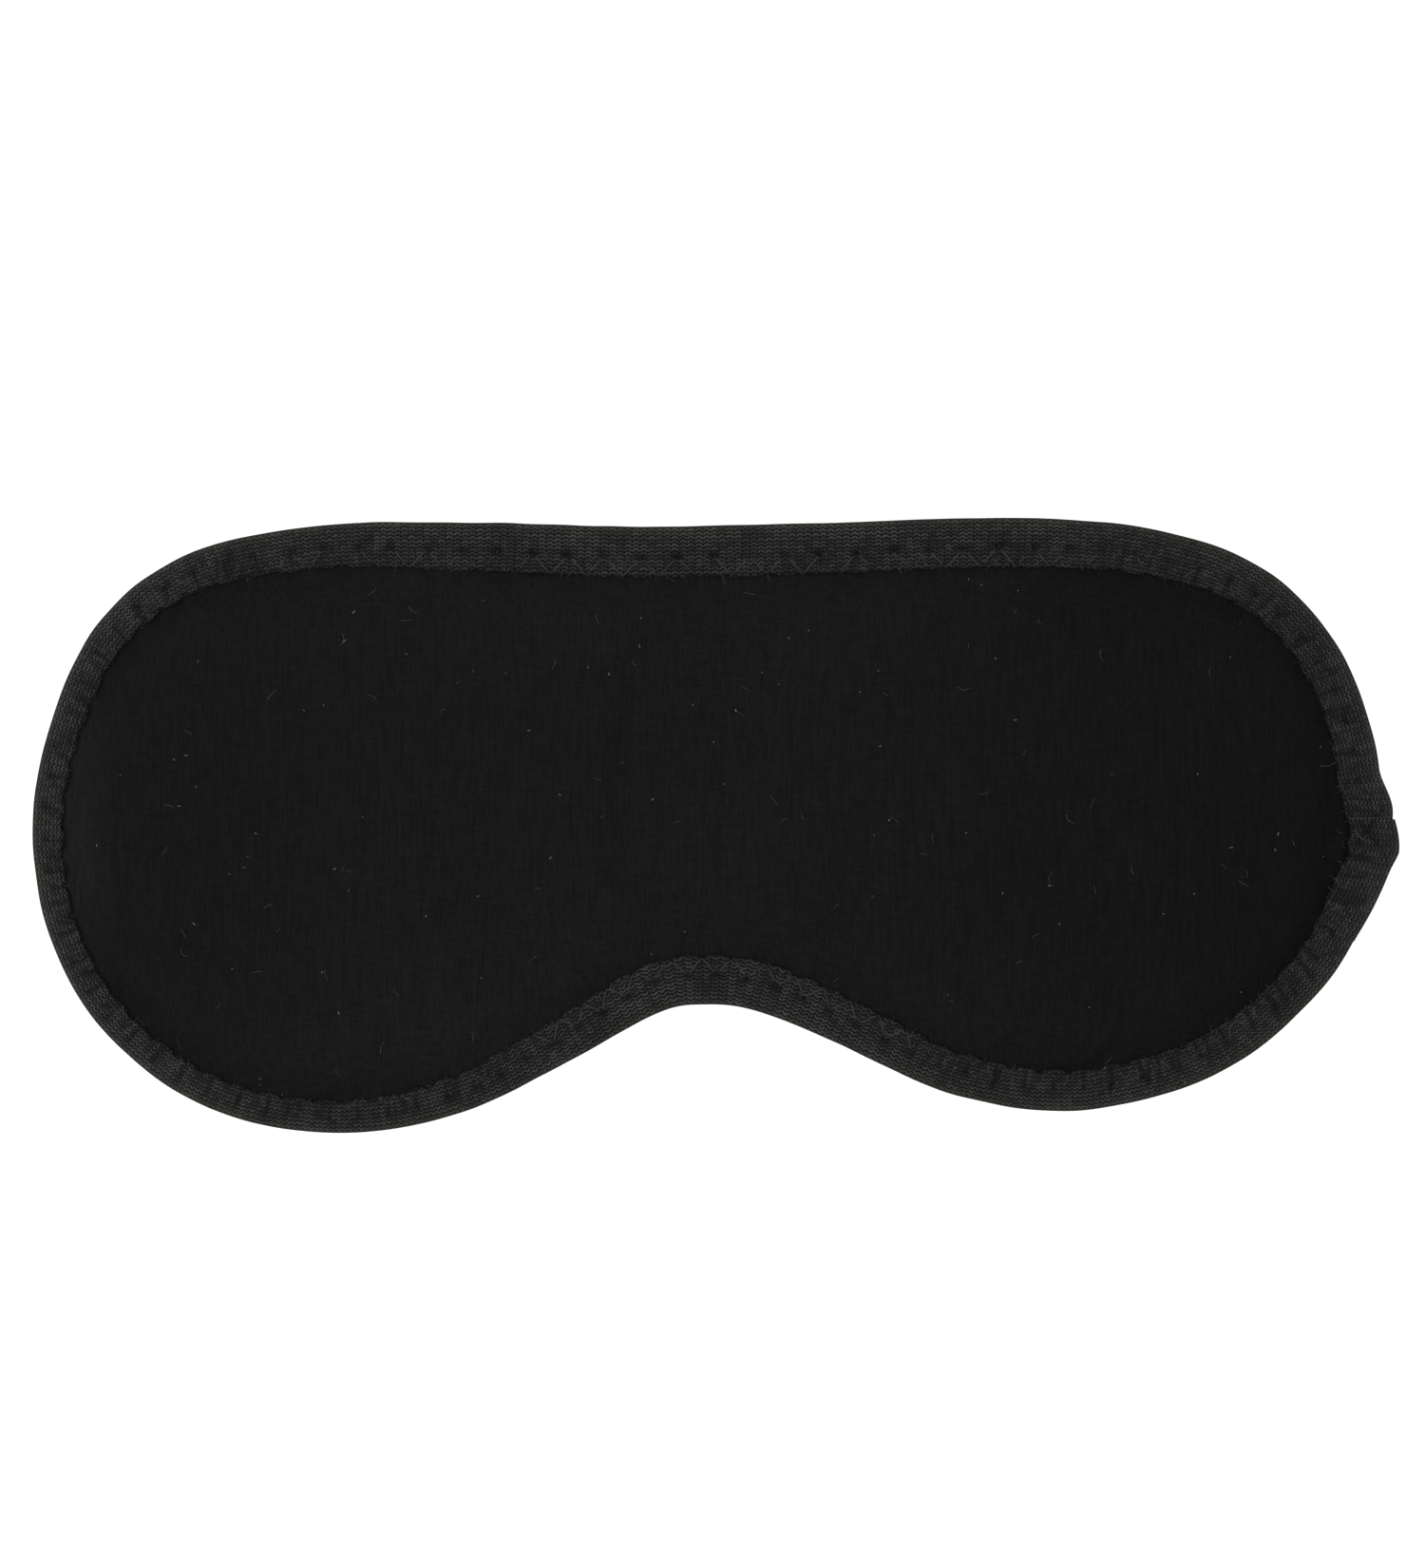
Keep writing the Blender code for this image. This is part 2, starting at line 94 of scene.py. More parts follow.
# The tape: half of its height over the middle, its cloth, and the rows of knit loops.
TAPE_HALF = 0.0023
TAPE_CLOTH = 0.0006
TAPE_ALONG = 0.00032
HALF_FOLD = 0.0007  # the strip of tape that turns over the very edge
LOOP = 1.17  # one knit loop along the tape, in millimetres
COURSE = 0.585  # one row of loops, in millimetres
STITCH_COUNT = 104
STITCH_CROWD = 0.9  # stitches by which the seam runs ahead on its way to the notch
STITCH_START = 0.0635
SQUEEZES = (0.060, 0.020)  # one more stitch is squeezed in this far each side of the notch
STITCH_DEPTH = 0.0031
LAP_LIFT = 0.00055
CREASES = (  # start, end, depth and half width of the folds across the lap
    ((0.0978, 0.0009), (0.1013, -0.0038), 0.00040, 0.00030),
    ((0.1022, 0.0030), (0.0972, -0.0034), 0.00028, 0.00034),
)

# The strap, ring and slider.
STRAP_HALF = 0.010
STRAP_THICK = 0.0008
STRAP_X = 0.093
STITCH_START_X = 0.074
TURN_RADIUS = 0.006
SKIN_GAP = 0.0004
RUN_END_Y = 0.098
BACK_DEPTH = 0.0383
BAR_RADIUS = 0.0007
FOLD_RADIUS = 0.0012
RING_FRONT_Y = 0.036
RING_BACK_Y = 0.044
SLIDER_Y = 0.060
SLIP_GAP = 0.0002
END_BAR_OUT = -0.0013
CENTRE_BAR_OUT = 0.0022
SPLIT_Y = 0.046
TAB_SPREAD_Y = 0.030  # from here the tab's two layers spread round the ring's bar
TACK_HALF = 0.008
TACK_LEGS = 34
TACK_RADIUS = 0.00016


# ---- shapes shared with the frame


def smooth(share):
    share = min(1.0, max(0.0, share))
    return share * share * (3 - 2 * share)


def bump(offset, width):
    """1 in the middle, fading to nothing a few widths away."""
    return exp(-((offset / width) ** 2))


def sweep(x):
    """How far the swept wings stand back at this x."""
    past = max(0.0, abs(x) - FLAT_HALF)
    return SWEEP_BACK * (past / (HALF_WIDTH - FLAT_HALF)) ** 2


def place(spot, depth):
    """A point in front of the skin side by depth."""
    return Vector((spot.x, sweep(spot.x) - depth, spot.y))


def catmull_rom(before, start, end, after, t):
    return 0.5 * (
        2 * start
        + (end - before) * t
        + (2 * before - 5 * start + 4 * end - after) * t**2
        + (3 * start - before - 3 * end + after) * t**3
    )


class Outline:
    """The rim as a closed curve, read by its own length."""

    def __init__(self):
        corners = [Vector(corner) * MM for corner in OUTLINE]
        spans = len(corners)
        self.fine = []
        for step in range(FINE_STEPS):
            where = step * spans / FINE_STEPS
            i = int(where)
            four = [corners[(i + k) % spans] for k in (-1, 0, 1, 2)]
            self.fine.append(catmull_rom(*four, where - i))
        steps = [
            (self.fine[(i + 1) % FINE_STEPS].xy - self.fine[i].xy).length
            for i in range(FINE_STEPS)
        ]
        self.ends = np.concatenate([[0.0], np.cumsum(steps)])
        self.length = float(self.ends[-1])
        runs = [
            (self.fine[(i + 60) % FINE_STEPS].xy - self.fine[i - 60].xy) for i in range(FINE_STEPS)
        ]
        self.curls = [
            runs[(i + 60) % FINE_STEPS].angle_signed(runs[i - 60]) * -1 for i in range(FINE_STEPS)
        ]

    def at(self, along):
        """(spot, outward normal, tape width) at this length round the rim."""
        along %= self.length
        i = min(int(np.searchsorted(self.ends, along, "right")) - 1, FINE_STEPS - 1)
        share = (along - self.ends[i]) / (self.ends[i + 1] - self.ends[i])
        spot = self.fine[i].lerp(self.fine[(i + 1) % FINE_STEPS], share)
        run = (self.fine[(i + 20) % FINE_STEPS].xy - self.fine[i - 20].xy).normalized()
        return spot.xy, Vector((-run.y, run.x)), spot.z

    def gathered(self, along):
        """0 where the rim runs straight or inwards, 1 where it curves enough to gather the tape."""
        i = int(np.searchsorted(self.ends, along % self.length, "right")) - 1
        return smooth(self.curls[min(i, FINE_STEPS - 1)] / 0.34)

    def along_of(self, x, z):
        """The length round the rim of the place nearest to (x, z)."""
        near = min(range(FINE_STEPS), key=lambda i: (self.fine[i].xy - Vector((x, z))).length)
        return float(self.ends[near])


rim = Outline()
PITCH = rim.length / STITCH_COUNT
NOTCH = rim.along_of(-0.0005, -0.0271)
LAP_TOP = rim.along_of(0.1013, 0.0009)
LAP_CORNER = rim.along_of(0.1012, -0.0040)
LAP_END = rim.along_of(0.0970, -0.0175)
UNDER_TOP = rim.along_of(0.1011, 0.0085)
UNDER_FULL = rim.along_of(0.1013, 0.0018)


# ---- mesh helpers


def shade(data):
    """Smooth shading, broken where faces meet at a sharp angle."""
    data.shade_smooth()
    data.set_sharp_from_angle(angle=radians(55))


def finish_piece(name, data, material):
    piece = bpy.data.objects.new(name, data)
    bpy.context.scene.collection.objects.link(piece)
    data.materials.append(material)
    shade(data)
    return piece


def grid_mesh(name, rows, strip=None, closed_rows=False, closed_columns=False, values=None):
    """A mesh from rows of points. strip holds (along, across) in millimetres for each point."""
    tall, wide = len(rows), len(rows[0])
    points = [point for row in rows for point in row]
    faces, corners = [], []
    for i in range(tall if closed_rows else tall - 1):
        for j in range(wide if closed_columns else wide - 1):
            square = ((i, j), (i, j + 1), (i + 1, j + 1), (i + 1, j))
            faces.append([(a % tall) * wide + b % wide for a, b in square])
            corners.append(square)
    data = bpy.data.meshes.new(name)
    data.from_pydata(points, [], faces)
    if strip:
        layer = data.uv_layers.new(name="strip")
        layer.data.foreach_set("uv", [v for square in corners for a, b in square for v in strip(a, b)])
    if values:
        # values hold painted shade for each point, kept as a point attribute for the tape material.
        attribute = data.attributes.new("painted_shade", "FLOAT", "POINT")
        attribute.data.foreach_set("value", [value for row in values for value in row])
    return data


def apply_modifiers(piece):
    """Replaces the piece's mesh with its evaluated one."""
    graph = bpy.context.evaluated_depsgraph_get()
    data = bpy.data.meshes.new_from_object(
        piece.evaluated_get(graph), preserve_all_data_layers=True, depsgraph=graph
    )
    piece.modifiers.clear()
    piece.data = data


def assign(item, **values):
    for key, value in values.items():
        setattr(item, key, value)


def add_modifier(piece, kind, **settings):
    assign(piece.modifiers.new(kind.lower(), kind), **settings)


def capped(data):
    """Closes the open ends of a tube or a band."""
    bm = bmesh.new()
    bm.from_mesh(data)
    bmesh.ops.holes_fill(bm, edges=[edge for edge in bm.edges if edge.is_boundary])
    bm.to_mesh(data)
    bm.free()
    return data


def outwards(data):
    """Turns every face outwards."""
    bm = bmesh.new()
    bm.from_mesh(data)
    bmesh.ops.recalc_face_normals(bm, faces=bm.faces)
    bm.to_mesh(data)
    bm.free()
    return data


def lengths_along(path):
    """The distance from the first point of the path to each of its points."""
    steps = [(after - before).length for before, after in zip(path, path[1:])]
    return list(accumulate(steps, initial=0.0))


def tube(name, path, radius, material, sides=6, closed=False):
    """A round strand along a path of points, with capped ends."""
    count = len(path)
    lengths = lengths_along(path)
    turns = [2 * pi * k / sides for k in range(sides)]
    rows = []
    normal = Vector((0.31, -0.9, 0.3))  # any direction that no strand runs in
    for i, point in enumerate(path):
        ahead = path[(i + 1) % count] if closed or i < count - 1 else point
        behind = path[i - 1] if closed or i else point
        run = (ahead - behind).normalized()
        normal = (normal - run * normal.dot(run)).normalized()
        side = run.cross(normal)
        rows.append([point + (normal * cos(t) + side * sin(t)) * radius for t in turns])

    def strip(i, k):
        return lengths[min(i, count - 1)] / MM, k / sides

    data = grid_mesh(name, rows, strip, closed_rows=closed, closed_columns=True)
    return finish_piece(name, outwards(data if closed else capped(data)), material)


def join(name, pieces):
    """Makes one named piece of pieces that share a material."""
    with bpy.context.temp_override(
        active_object=pieces[0], selected_editable_objects=pieces, selected_objects=pieces
    ):
        bpy.ops.object.join()
    pieces[0].name = name
    pieces[0].data.name = name
    return pieces[0]


# ---- materials


class Shader:
    """A Principled material with short calls for its nodes."""

    def __init__(self, name, **constants):
        self.material = bpy.data.materials.new(name)
        self.material.use_nodes = True
        self.tree = self.material.node_tree
        self.out = self.tree.nodes["Principled BSDF"]
        for socket, value in constants.items():
            self.out.inputs[socket.replace("_", " ")].default_value = value

    def node(self, kind, inputs, output=0, **settings):
        made = self.tree.nodes.new(kind)
        assign(made, **settings)
        for key, value in inputs.items():
            self.feed(made.inputs[key], value)
        return made.outputs[output]

    def feed(self, socket, value):
        if isinstance(value, bpy.types.NodeSocket):
            self.tree.links.new(value, socket)
        else:
            socket.default_value = value

    def math(self, operation, *values):
        return self.node("ShaderNodeMath", dict(enumerate(values)), operation=operation)

    def times(self, first, *others):
        for other in others:
            first = self.math("MULTIPLY", first, other)
        return first

    def plus(self, first, second):
        return self.math("ADD", first, second)

    def triangle(self, value):
        """0 at every whole number and 1 halfway between."""
        saw = self.times(self.math("FRACT", value), 2.0)
        return self.math("SUBTRACT", 1.0, self.math("ABSOLUTE", self.math("SUBTRACT", saw, 1.0)))

    def ripple(self, value):
        return self.math("ABSOLUTE", self.math("SINE", value))

    def combine(self, x, y, z=0.0):
        return self.node("ShaderNodeCombineXYZ", {0: x, 1: y, 2: z})

    def uv(self):
        where = self.node("ShaderNodeUVMap", {}, uv_map="strip")
        parts = self.tree.nodes.new("ShaderNodeSeparateXYZ")
        self.tree.links.new(where, parts.inputs[0])
        return parts.outputs[0], parts.outputs[1]

    def position(self):
        return self.node("ShaderNodeTexCoord", {}, output=3)

    def stretched(self, scale):
        return self.node("ShaderNodeMapping", {0: self.position(), 3: scale})

    def noise(self, scale, detail=3.0, vector=None, rough=0.5):
        where = self.position() if vector is None else vector
        return self.node(
            "ShaderNodeTexNoise",
            {"Vector": where, "Scale": scale, "Detail": detail, "Roughness": rough},
        )

    def ramp(self, value, low, high, to_low=0.0, to_high=1.0):
        return self.node(
            "ShaderNodeMapRange",
            {0: value, 1: low, 2: high, 3: to_low, 4: to_high},
            interpolation_type="SMOOTHSTEP",
        )

    def mix(self, share, first, second, blend="MIX"):
        made = self.tree.nodes.new("ShaderNodeMix")
        made.data_type = "RGBA"
        made.blend_type = blend
        self.feed(made.inputs[0], share)
        self.feed(made.inputs[6], first)
        self.feed(made.inputs[7], second)
        return made.outputs[2]

    def value_of(self, name):
        return self.node("ShaderNodeAttribute", {}, output=2, attribute_name=name)

    def set(self, colour, roughness, height=None, depth=0.0001, strength=1.0):
        self.feed(self.out.inputs["Base Color"], colour)
        self.feed(self.out.inputs["Roughness"], roughness)
        if height is not None:
            bump = self.node(
                "ShaderNodeBump", {"Height": height, "Distance": depth, "Strength": strength}
            )
            self.feed(self.out.inputs["Normal"], bump)
        return self.material


def rgb(red, green=None, blue=None):
    return (red, red if green is None else green, red if blue is None else blue, 1.0)


def knit_tape_material(name):
    """Charcoal elastic knit: rows of small loops along the tape, olive where it folds, with painted shade
    in the gaps between loops and over its inner part.
    """
    s = Shader(name, Sheen_Weight=0.04, Sheen_Roughness=0.5, Specular_IOR_Level=0.06)
    along, across = s.uv()
    from_fold = s.math("ABSOLUTE", across)
    wander = s.math("SUBTRACT", s.noise(500.0, 2.0), 0.5)
    pair = s.times(s.plus(along, s.times(wander, 0.5)), 1 / LOOP)
    column = s.triangle(pair)
    lean = s.plus(s.times(column, 0.62), s.times(wander, 0.7))
    course = s.plus(s.math("DIVIDE", across, COURSE), lean)
    cell = s.combine(s.math("FLOOR", pair), s.math("FLOOR", course))
    odd = s.node("ShaderNodeTexWhiteNoise", {"Vector": cell}, noise_dimensions="2D")
    loop = s.ramp(s.triangle(course), 0.20, 0.76)
    gap = s.times(s.ramp(column, 0.0, 0.4, 0.38, 1.0), s.ramp(column, 0.7, 1.0, 1.0, 0.66))
    fuzz = s.noise(2600.0, 2.0)
    height = s.times(loop, gap, s.ramp(fuzz, 0.2, 0.8, 0.7, 1.1))
    streaks = s.combine(along, s.times(across, 0.16))
    streak = s.ramp(s.noise(0.9, 2.0, streaks), 0.35, 0.65, 0.80, 1.18)
    patches = s.ramp(s.noise(150.0, 4.0), 0.3, 0.7, 0.68, 1.15)
    # Painted shade: the inner part of the tape darker, for the shadows of its pleats and thread.
    inner = s.ramp(from_fold, 2.5, 7.0, 1.05, 0.72)
    # The tone follows the loops' height, so the gaps between loops and rows are painted shade; the
    # patches, cells and streaks are random tone.
    tone = s.times(height, patches, s.ramp(odd, 0, 1, 0.6, 1.3), streak, inner)
    colour = s.mix(tone, rgb(0.0020), rgb(0.0375, 0.0375, 0.0380))
    folded = s.ramp(from_fold, 0.5, 2.7, 1.0, 0.0)
    tinted = s.times(folded, s.ramp(s.noise(45.0, 2.0), 0.35, 0.6, 0.35, 1.0))
    olive = s.mix(tinted, colour, rgb(0.94, 0.92, 0.60), "MULTIPLY")
    # Painted shade from the mesh: needle holes, pulls, pleats, the lap's creases and the line under the
    # tape's inner edge.
    dark = s.mix(s.value_of("painted_shade"), olive, rgb(0.0016))
    return s.set(dark, s.ramp(fuzz, 0.2, 0.8, 0.8, 0.97), height, 0.00022, 1.0)


def face_knit_material(name, dark, light):
    """Near-black plush knit with a faint square grain, with painted light and shade by place and a painted
    highlight beside the tape at its left end.
    """
    s = Shader(name, Sheen_Weight=0.015, Sheen_Roughness=0.4, Specular_IOR_Level=0.045)
    across = s.noise(2600.0, 2.0, s.stretched((0.10, 1.0, 1.0)))
    down = s.noise(2600.0, 2.0, s.stretched((1.0, 1.0, 0.08)))
    grain = s.plus(s.times(across, 0.4), s.times(down, 0.6))
    pile = s.noise(2400.0, 3.0)
    tone = s.plus(s.times(grain, 0.6), s.times(pile, 0.4))
    body = s.mix(s.ramp(tone, 0.38, 0.62), dark, light)
    parts = s.tree.nodes.new("ShaderNodeSeparateXYZ")
    s.tree.links.new(s.position(), parts.inputs[0])
    x, z = parts.outputs[0], parts.outputs[2]
    worn = s.ramp(s.noise(22.0, 4.0), 0.3, 0.75, 0.94, 1.10)
    # Painted light and shade by place: darker towards the left and right wings, lighter at the top and the
    # bottom, and a painted highlight in a band beside the left tape.
    left = s.ramp(x, -0.090, -0.030, 0.88, 1.0)
    painted_left_highlight = s.ramp(x, -0.0980, -0.0880, 1.85, 1.0)
    right = s.ramp(x, 0.0, 0.090, 1.0, 0.70)
    brow = s.ramp(z, 0.010, 0.038, 1.0, 1.08)
    cheek = s.ramp(z, -0.034, -0.012, 1.14, 1.0)
    # Random worn tone times the painted light and shade.
    worn_and_painted_light = s.times(worn, left, painted_left_highlight, right, brow, cheek)
    colour = s.mix(1.0, body, s.combine(worn_and_painted_light, worn_and_painted_light, worn_and_painted_light), "MULTIPLY")
    return s.set(colour, s.ramp(pile, 0.2, 0.8, 0.85, 0.98), tone, 0.00008, 0.5)


def elastic_material(name):
    """Woven elastic: fine cross ribs between lengthwise cords."""
    s = Shader(name, Sheen_Weight=0.04, Sheen_Roughness=0.45, Specular_IOR_Level=0.08)
    cord_width, rib_length = 0.9, 0.62
    along, across = s.uv()
    strand = s.math("FLOOR", s.times(across, 1 / cord_width))
    offset = s.times(s.math("MODULO", strand, 2.0), 0.5)
    step = s.plus(s.times(along, 1 / rib_length), offset)
    rib = s.ramp(s.ripple(s.times(step, pi)), 0.0, 0.8, 0.5, 1.0)
    cord = s.ramp(s.ripple(s.times(across, pi / cord_width)), 0.0, 0.5, 0.6, 1.0)
    fuzz = s.noise(2200.0, 3.0)
    height = s.times(rib, cord, s.ramp(fuzz, 0.2, 0.8, 0.8, 1.1))
    tone = s.times(height, s.ramp(s.noise(60.0, 3.0), 0.3, 0.7, 0.8, 1.1))
    colour = s.mix(tone, rgb(0.0030), rgb(0.0200, 0.0200, 0.0205))
    selvedge = s.ramp(s.math("ABSOLUTE", across), 9.0, 9.7)
    colour = s.mix(s.times(selvedge, 0.4), colour, rgb(0.020))
    return s.set(colour, s.ramp(fuzz, 0.2, 0.8, 0.7, 0.92), height, 0.00022, 0.9)


def thread_material(name):
    """Twisted polyester thread, a little lighter than the tape."""
    s = Shader(name, Sheen_Weight=0.06, Sheen_Roughness=0.3, Specular_IOR_Level=0.15)
    along, around = s.uv()
    turn = s.plus(s.math("DIVIDE", along, 0.42), around)
    ply = s.ripple(s.times(turn, 2 * pi))
    colour = s.mix(s.ramp(ply, 0.0, 0.8), rgb(0.008), rgb(0.028, 0.028, 0.029))
    return s.set(colour, s.ramp(s.noise(900.0), 0.3, 0.7, 0.5, 0.7), ply, 0.00006, 0.8)


def lint_material(name, light, dark):
    """Loose fibre, uneven in tone."""
    s = Shader(name, Sheen_Weight=0.1, Specular_IOR_Level=0.1)
    tone = s.noise(1500.0, 2.0)
    return s.set(s.mix(s.ramp(tone, 0.35, 0.65), dark, light), s.ramp(tone, 0.2, 0.8, 0.7, 0.9))


def plastic_material(name):
    """Moulded nylon, satin, with handling marks."""
    s = Shader(name, Specular_IOR_Level=0.45)
    cloud = s.noise(350.0, 4.0)
    scratch = s.noise(700.0, 2.0, s.stretched((1.0, 0.08, 1.0)))
    colour = s.mix(s.ramp(cloud, 0.3, 0.7), rgb(0.0080), rgb(0.0130, 0.0130, 0.0140))
    worn = s.mix(s.ramp(scratch, 0.62, 0.72, 0.0, 0.4), colour, rgb(0.028))
    rough = s.plus(s.ramp(cloud, 0.2, 0.8, 0.28, 0.42), s.ramp(scratch, 0.6, 0.75, 0.0, 0.2))
    return s.set(worn, rough, s.plus(cloud, scratch), 0.00003, 0.5)


def foam_material(name):
    """Open-cell foam."""
    s = Shader(name, Specular_IOR_Level=0.2)
    cells = s.node("ShaderNodeTexVoronoi", {"Vector": s.position(), "Scale": 1500.0})
    colour = s.mix(s.ramp(cells, 0.1, 0.6), rgb(0.012), rgb(0.045, 0.045, 0.048))
    return s.set(colour, s.ramp(s.noise(300.0), 0.3, 0.7, 0.85, 0.98), cells, 0.0003, 0.8)


def film_material(name):
    """The opaque film that stops the light."""
    s = Shader(name, Specular_IOR_Level=0.4)
    crinkle = s.noise(160.0, 5.0)
    colour = s.mix(s.ramp(crinkle, 0.3, 0.7), rgb(0.0030), rgb(0.0070))
    return s.set(colour, s.ramp(crinkle, 0.3, 0.7, 0.4, 0.6), crinkle, 0.0003, 0.5)


def floor_material():
    """Matt paper, almost white."""
    s = Shader("pale_floor", Specular_IOR_Level=0.1)
    mottle = s.noise(30.0, 2.0)
    colour = s.mix(s.ramp(mottle, 0.3, 0.7), rgb(0.92), rgb(0.93))
    return s.set(colour, s.ramp(mottle, 0.2, 0.8, 0.9, 0.95))


# ---- camera, light and floor


def make_stage():
    """A long lens square on to the mask, a white room, and flat soft light from the left."""
    scene = bpy.context.scene
    scene.view_settings.view_transform = "Standard"
    camera_distance, view_width = 6.0, 0.2143
    data = bpy.data.cameras.new("camera")
    data.sensor_fit = "HORIZONTAL"
    data.sensor_width = 36.0
    data.lens = 36.0 * camera_distance / view_width
    data.clip_end = 50.0
    camera = bpy.data.objects.new("camera", data)
    camera.location = (0.0007, -camera_distance, 0.0061)
    camera.rotation_euler = (radians(90), 0, 0)
    scene.collection.objects.link(camera)
    scene.camera = camera

    world = bpy.data.worlds.new("studio")
    world.use_nodes = True
    scene.world = world
    sky = world.node_tree.nodes["Background"]
    sky.inputs["Color"].default_value = (1.0, 1.0, 1.0, 1.0)
    sky.inputs["Strength"].default_value = 1.15

    lamps = (
        ("key", (-0.9, -1.0, 0.25), 0.9, 3.8),
        ("fill", (0.5, -1.3, -0.05), 0.8, 2.0),
        ("low", (-0.45, -0.9, -0.10), 0.1, 2.2),
    )
    for name, spot, size, power in lamps:
        lamp = bpy.data.lights.new(name, "AREA")
        lamp.size = size
        lamp.energy = power
        item = bpy.data.objects.new(name, lamp)
        item.location = spot
        item.rotation_euler = Vector(spot).to_track_quat("Z", "Y").to_euler()
        scene.collection.objects.link(item)

    floor_drop = 0.160
    data = bpy.data.meshes.new("floor")
    bm = bmesh.new()
    bmesh.ops.create_grid(bm, x_segments=8, y_segments=8, size=12.0)
    bm.to_mesh(data)
    bm.free()
    floor = finish_piece("floor", data, floor_material())
    floor.location.z = -floor_drop


# ---- the padded panel


def panel_points():
    """Evenly scattered spots inside the rim, and their triangles, for the two cloths."""
    border_step, grid_step = 0.0016, 0.0019
    count = ceil(rim.length / border_step)
    border = []
    for i in range(count):
        spot, normal = rim.at(i * rim.length / count)[:2]
        border.append(spot - normal * RIM_INSET)
    spots = list(border)
    rows = ceil(0.1 / (grid_step * 0.866))
    for row in range(-rows // 2, rows // 2 + 1):
        for column in range(-60, 61):
            x = (column + 0.5 * (row % 2)) * grid_step
            z = row * grid_step * 0.866
            spots.append(Vector((x, z)))
    edges = [(i, (i + 1) % count) for i in range(count)]
    made = geometry.delaunay_2d_cdt(spots, edges, [list(range(count))], 1, 1e-6)
    return [Vector(spot) for spot in made[0]], made[2]


def rim_distance(spots):
    """For each spot: how far inside the rim it lies, and the tape width there."""
    steps = 1200
    samples = [rim.at(i * rim.length / steps) for i in range(steps)]
    edge = np.array([sample[0] for sample in samples])
    widths = np.array([sample[2] for sample in samples])
    found = []
    for spot in spots:
        gaps = np.hypot(edge[:, 0] - spot.x, edge[:, 1] - spot.y)
        i = int(gaps.argmin())
        found.append((float(gaps[i]), float(widths[i])))
    return found


def under_strap(spot):
    """1 where the lining meets a sewn strap end, 0 clear of it."""
    from_middle = abs(abs(spot.x) - 0.0803)
    return (1 - smooth((from_middle - 0.0085) / 0.003)) * (1 - smooth((abs(spot.y) - 0.0115) / 0.003))


def puffed_panel():
    """The front and back cloths as one pillow held at the rim, swelled a little by its foam."""
    spots, triangles = panel_points()
    insets = rim_distance(spots)
    used = sorted({i for triangle in triangles for i in triangle})
    index = {old: new for new, old in enumerate(used)}
    triangles = [[index[i] for i in triangle] for triangle in triangles]
    spots = [spots[i] for i in used]
    insets = [insets[i] for i in used]
    pinches = [1 - smooth((inset - width) / PINCH_RUN) for inset, width in insets]
    count = len(spots)
    front = [place(s, PANEL_THICK - PINCH * p) for s, p in zip(spots, pinches)]
    back = [place(s, PINCH * p - UNDER_STRAP * under_strap(s)) for s, p in zip(spots, pinches)]
    a, b, c = (spots[i] for i in triangles[0])
    if (b - a).cross(c - a) < 0:
        triangles = [triangle[::-1] for triangle in triangles]
    edges = dict.fromkeys(pair for t in triangles for pair in zip(t, t[1:] + t[:1]))
    loose = [(a, b) for a, b in edges if (b, a) not in edges]
    walls = [(b, a, a + count, b + count) for a, b in loose]
    backs = [[i + count for i in t[::-1]] for t in triangles]
    data = bpy.data.meshes.new("panel")
    data.from_pydata(front + back, [], triangles + backs + walls)
    outwards(data)
    pillow = bpy.data.objects.new("panel", data)
    bpy.context.scene.collection.objects.link(pillow)
    swell(pillow, insets)
    moved = [vertex.co.copy() for vertex in pillow.data.vertices]
    bpy.data.objects.remove(pillow)
    return triangles, moved[:count], moved[count:]


def swell(pillow, insets):
    """Inflates the pillow by a cloth simulation, with its rim held and its travel capped."""
    frames, cap = 16, 0.0011
    sewn_start, sewn_end, sewn_half = 0.071, 0.0895, 0.0125  # where the strap ends hold the lining
    start = [vertex.co.copy() for vertex in pillow.data.vertices]
    held = pillow.vertex_groups.new(name="held")
    count = len(insets)
    for i, (inset, width) in enumerate(insets):
        grip = 1 - smooth((inset - width + 0.0002) / 0.0012)
        if grip > 0:
            held.add([i, i + count], grip, "REPLACE")
        behind = start[i + count]
        if sewn_start < abs(behind.x) < sewn_end and abs(behind.z) < sewn_half:
            held.add([i + count], 1.0, "REPLACE")
    cloth = pillow.modifiers.new("cloth", "CLOTH")
    stiffness = dict(tension_stiffness=12, compression_stiffness=12, shear_stiffness=5)
    assign(cloth.settings, quality=6, mass=0.25, bending_stiffness=0.4, **stiffness)
    assign(cloth.settings, use_pressure=True, uniform_pressure_force=1.2, shrink_min=-0.012)
    cloth.settings.vertex_group_mass = "held"
    cloth.settings.effector_weights.gravity = 0.0
    cloth.collision_settings.use_collision = False
    assign(cloth.point_cache, frame_start=1, frame_end=frames)
    scene = bpy.context.scene
    for step in range(1, frames + 1):
        scene.frame_set(step)
    graph = bpy.context.evaluated_depsgraph_get()
    evaluated = pillow.evaluated_get(graph).to_mesh()
    settled = [vertex.co.copy() for vertex in evaluated.vertices]
    pillow.evaluated_get(graph).to_mesh_clear()
    pillow.modifiers.clear()
    for vertex, before, after in zip(pillow.data.vertices, start, settled):
        travel = after - before
        if travel.length > cap:
            travel *= cap / travel.length
        vertex.co = before + travel
    scene.frame_set(1)


def make_cloth(name, triangles, points, thickness, flip, material, replaced):
    """One cloth of the panel with its own thickness, turned inwards."""
    data = bpy.data.meshes.new(name)
    faces = [t[::-1] for t in triangles] if flip else triangles
    data.from_pydata(points, [], faces)
    piece = finish_piece(name, data, material)
    add_modifier(piece, "SUBSURF", levels=1, render_levels=1)
    add_modifier(piece, "SOLIDIFY", thickness=thickness, offset=-1.0)
    apply_modifiers(piece)
    shade(piece.data)
    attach(piece, "panel")
    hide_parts(replaced)
    return piece


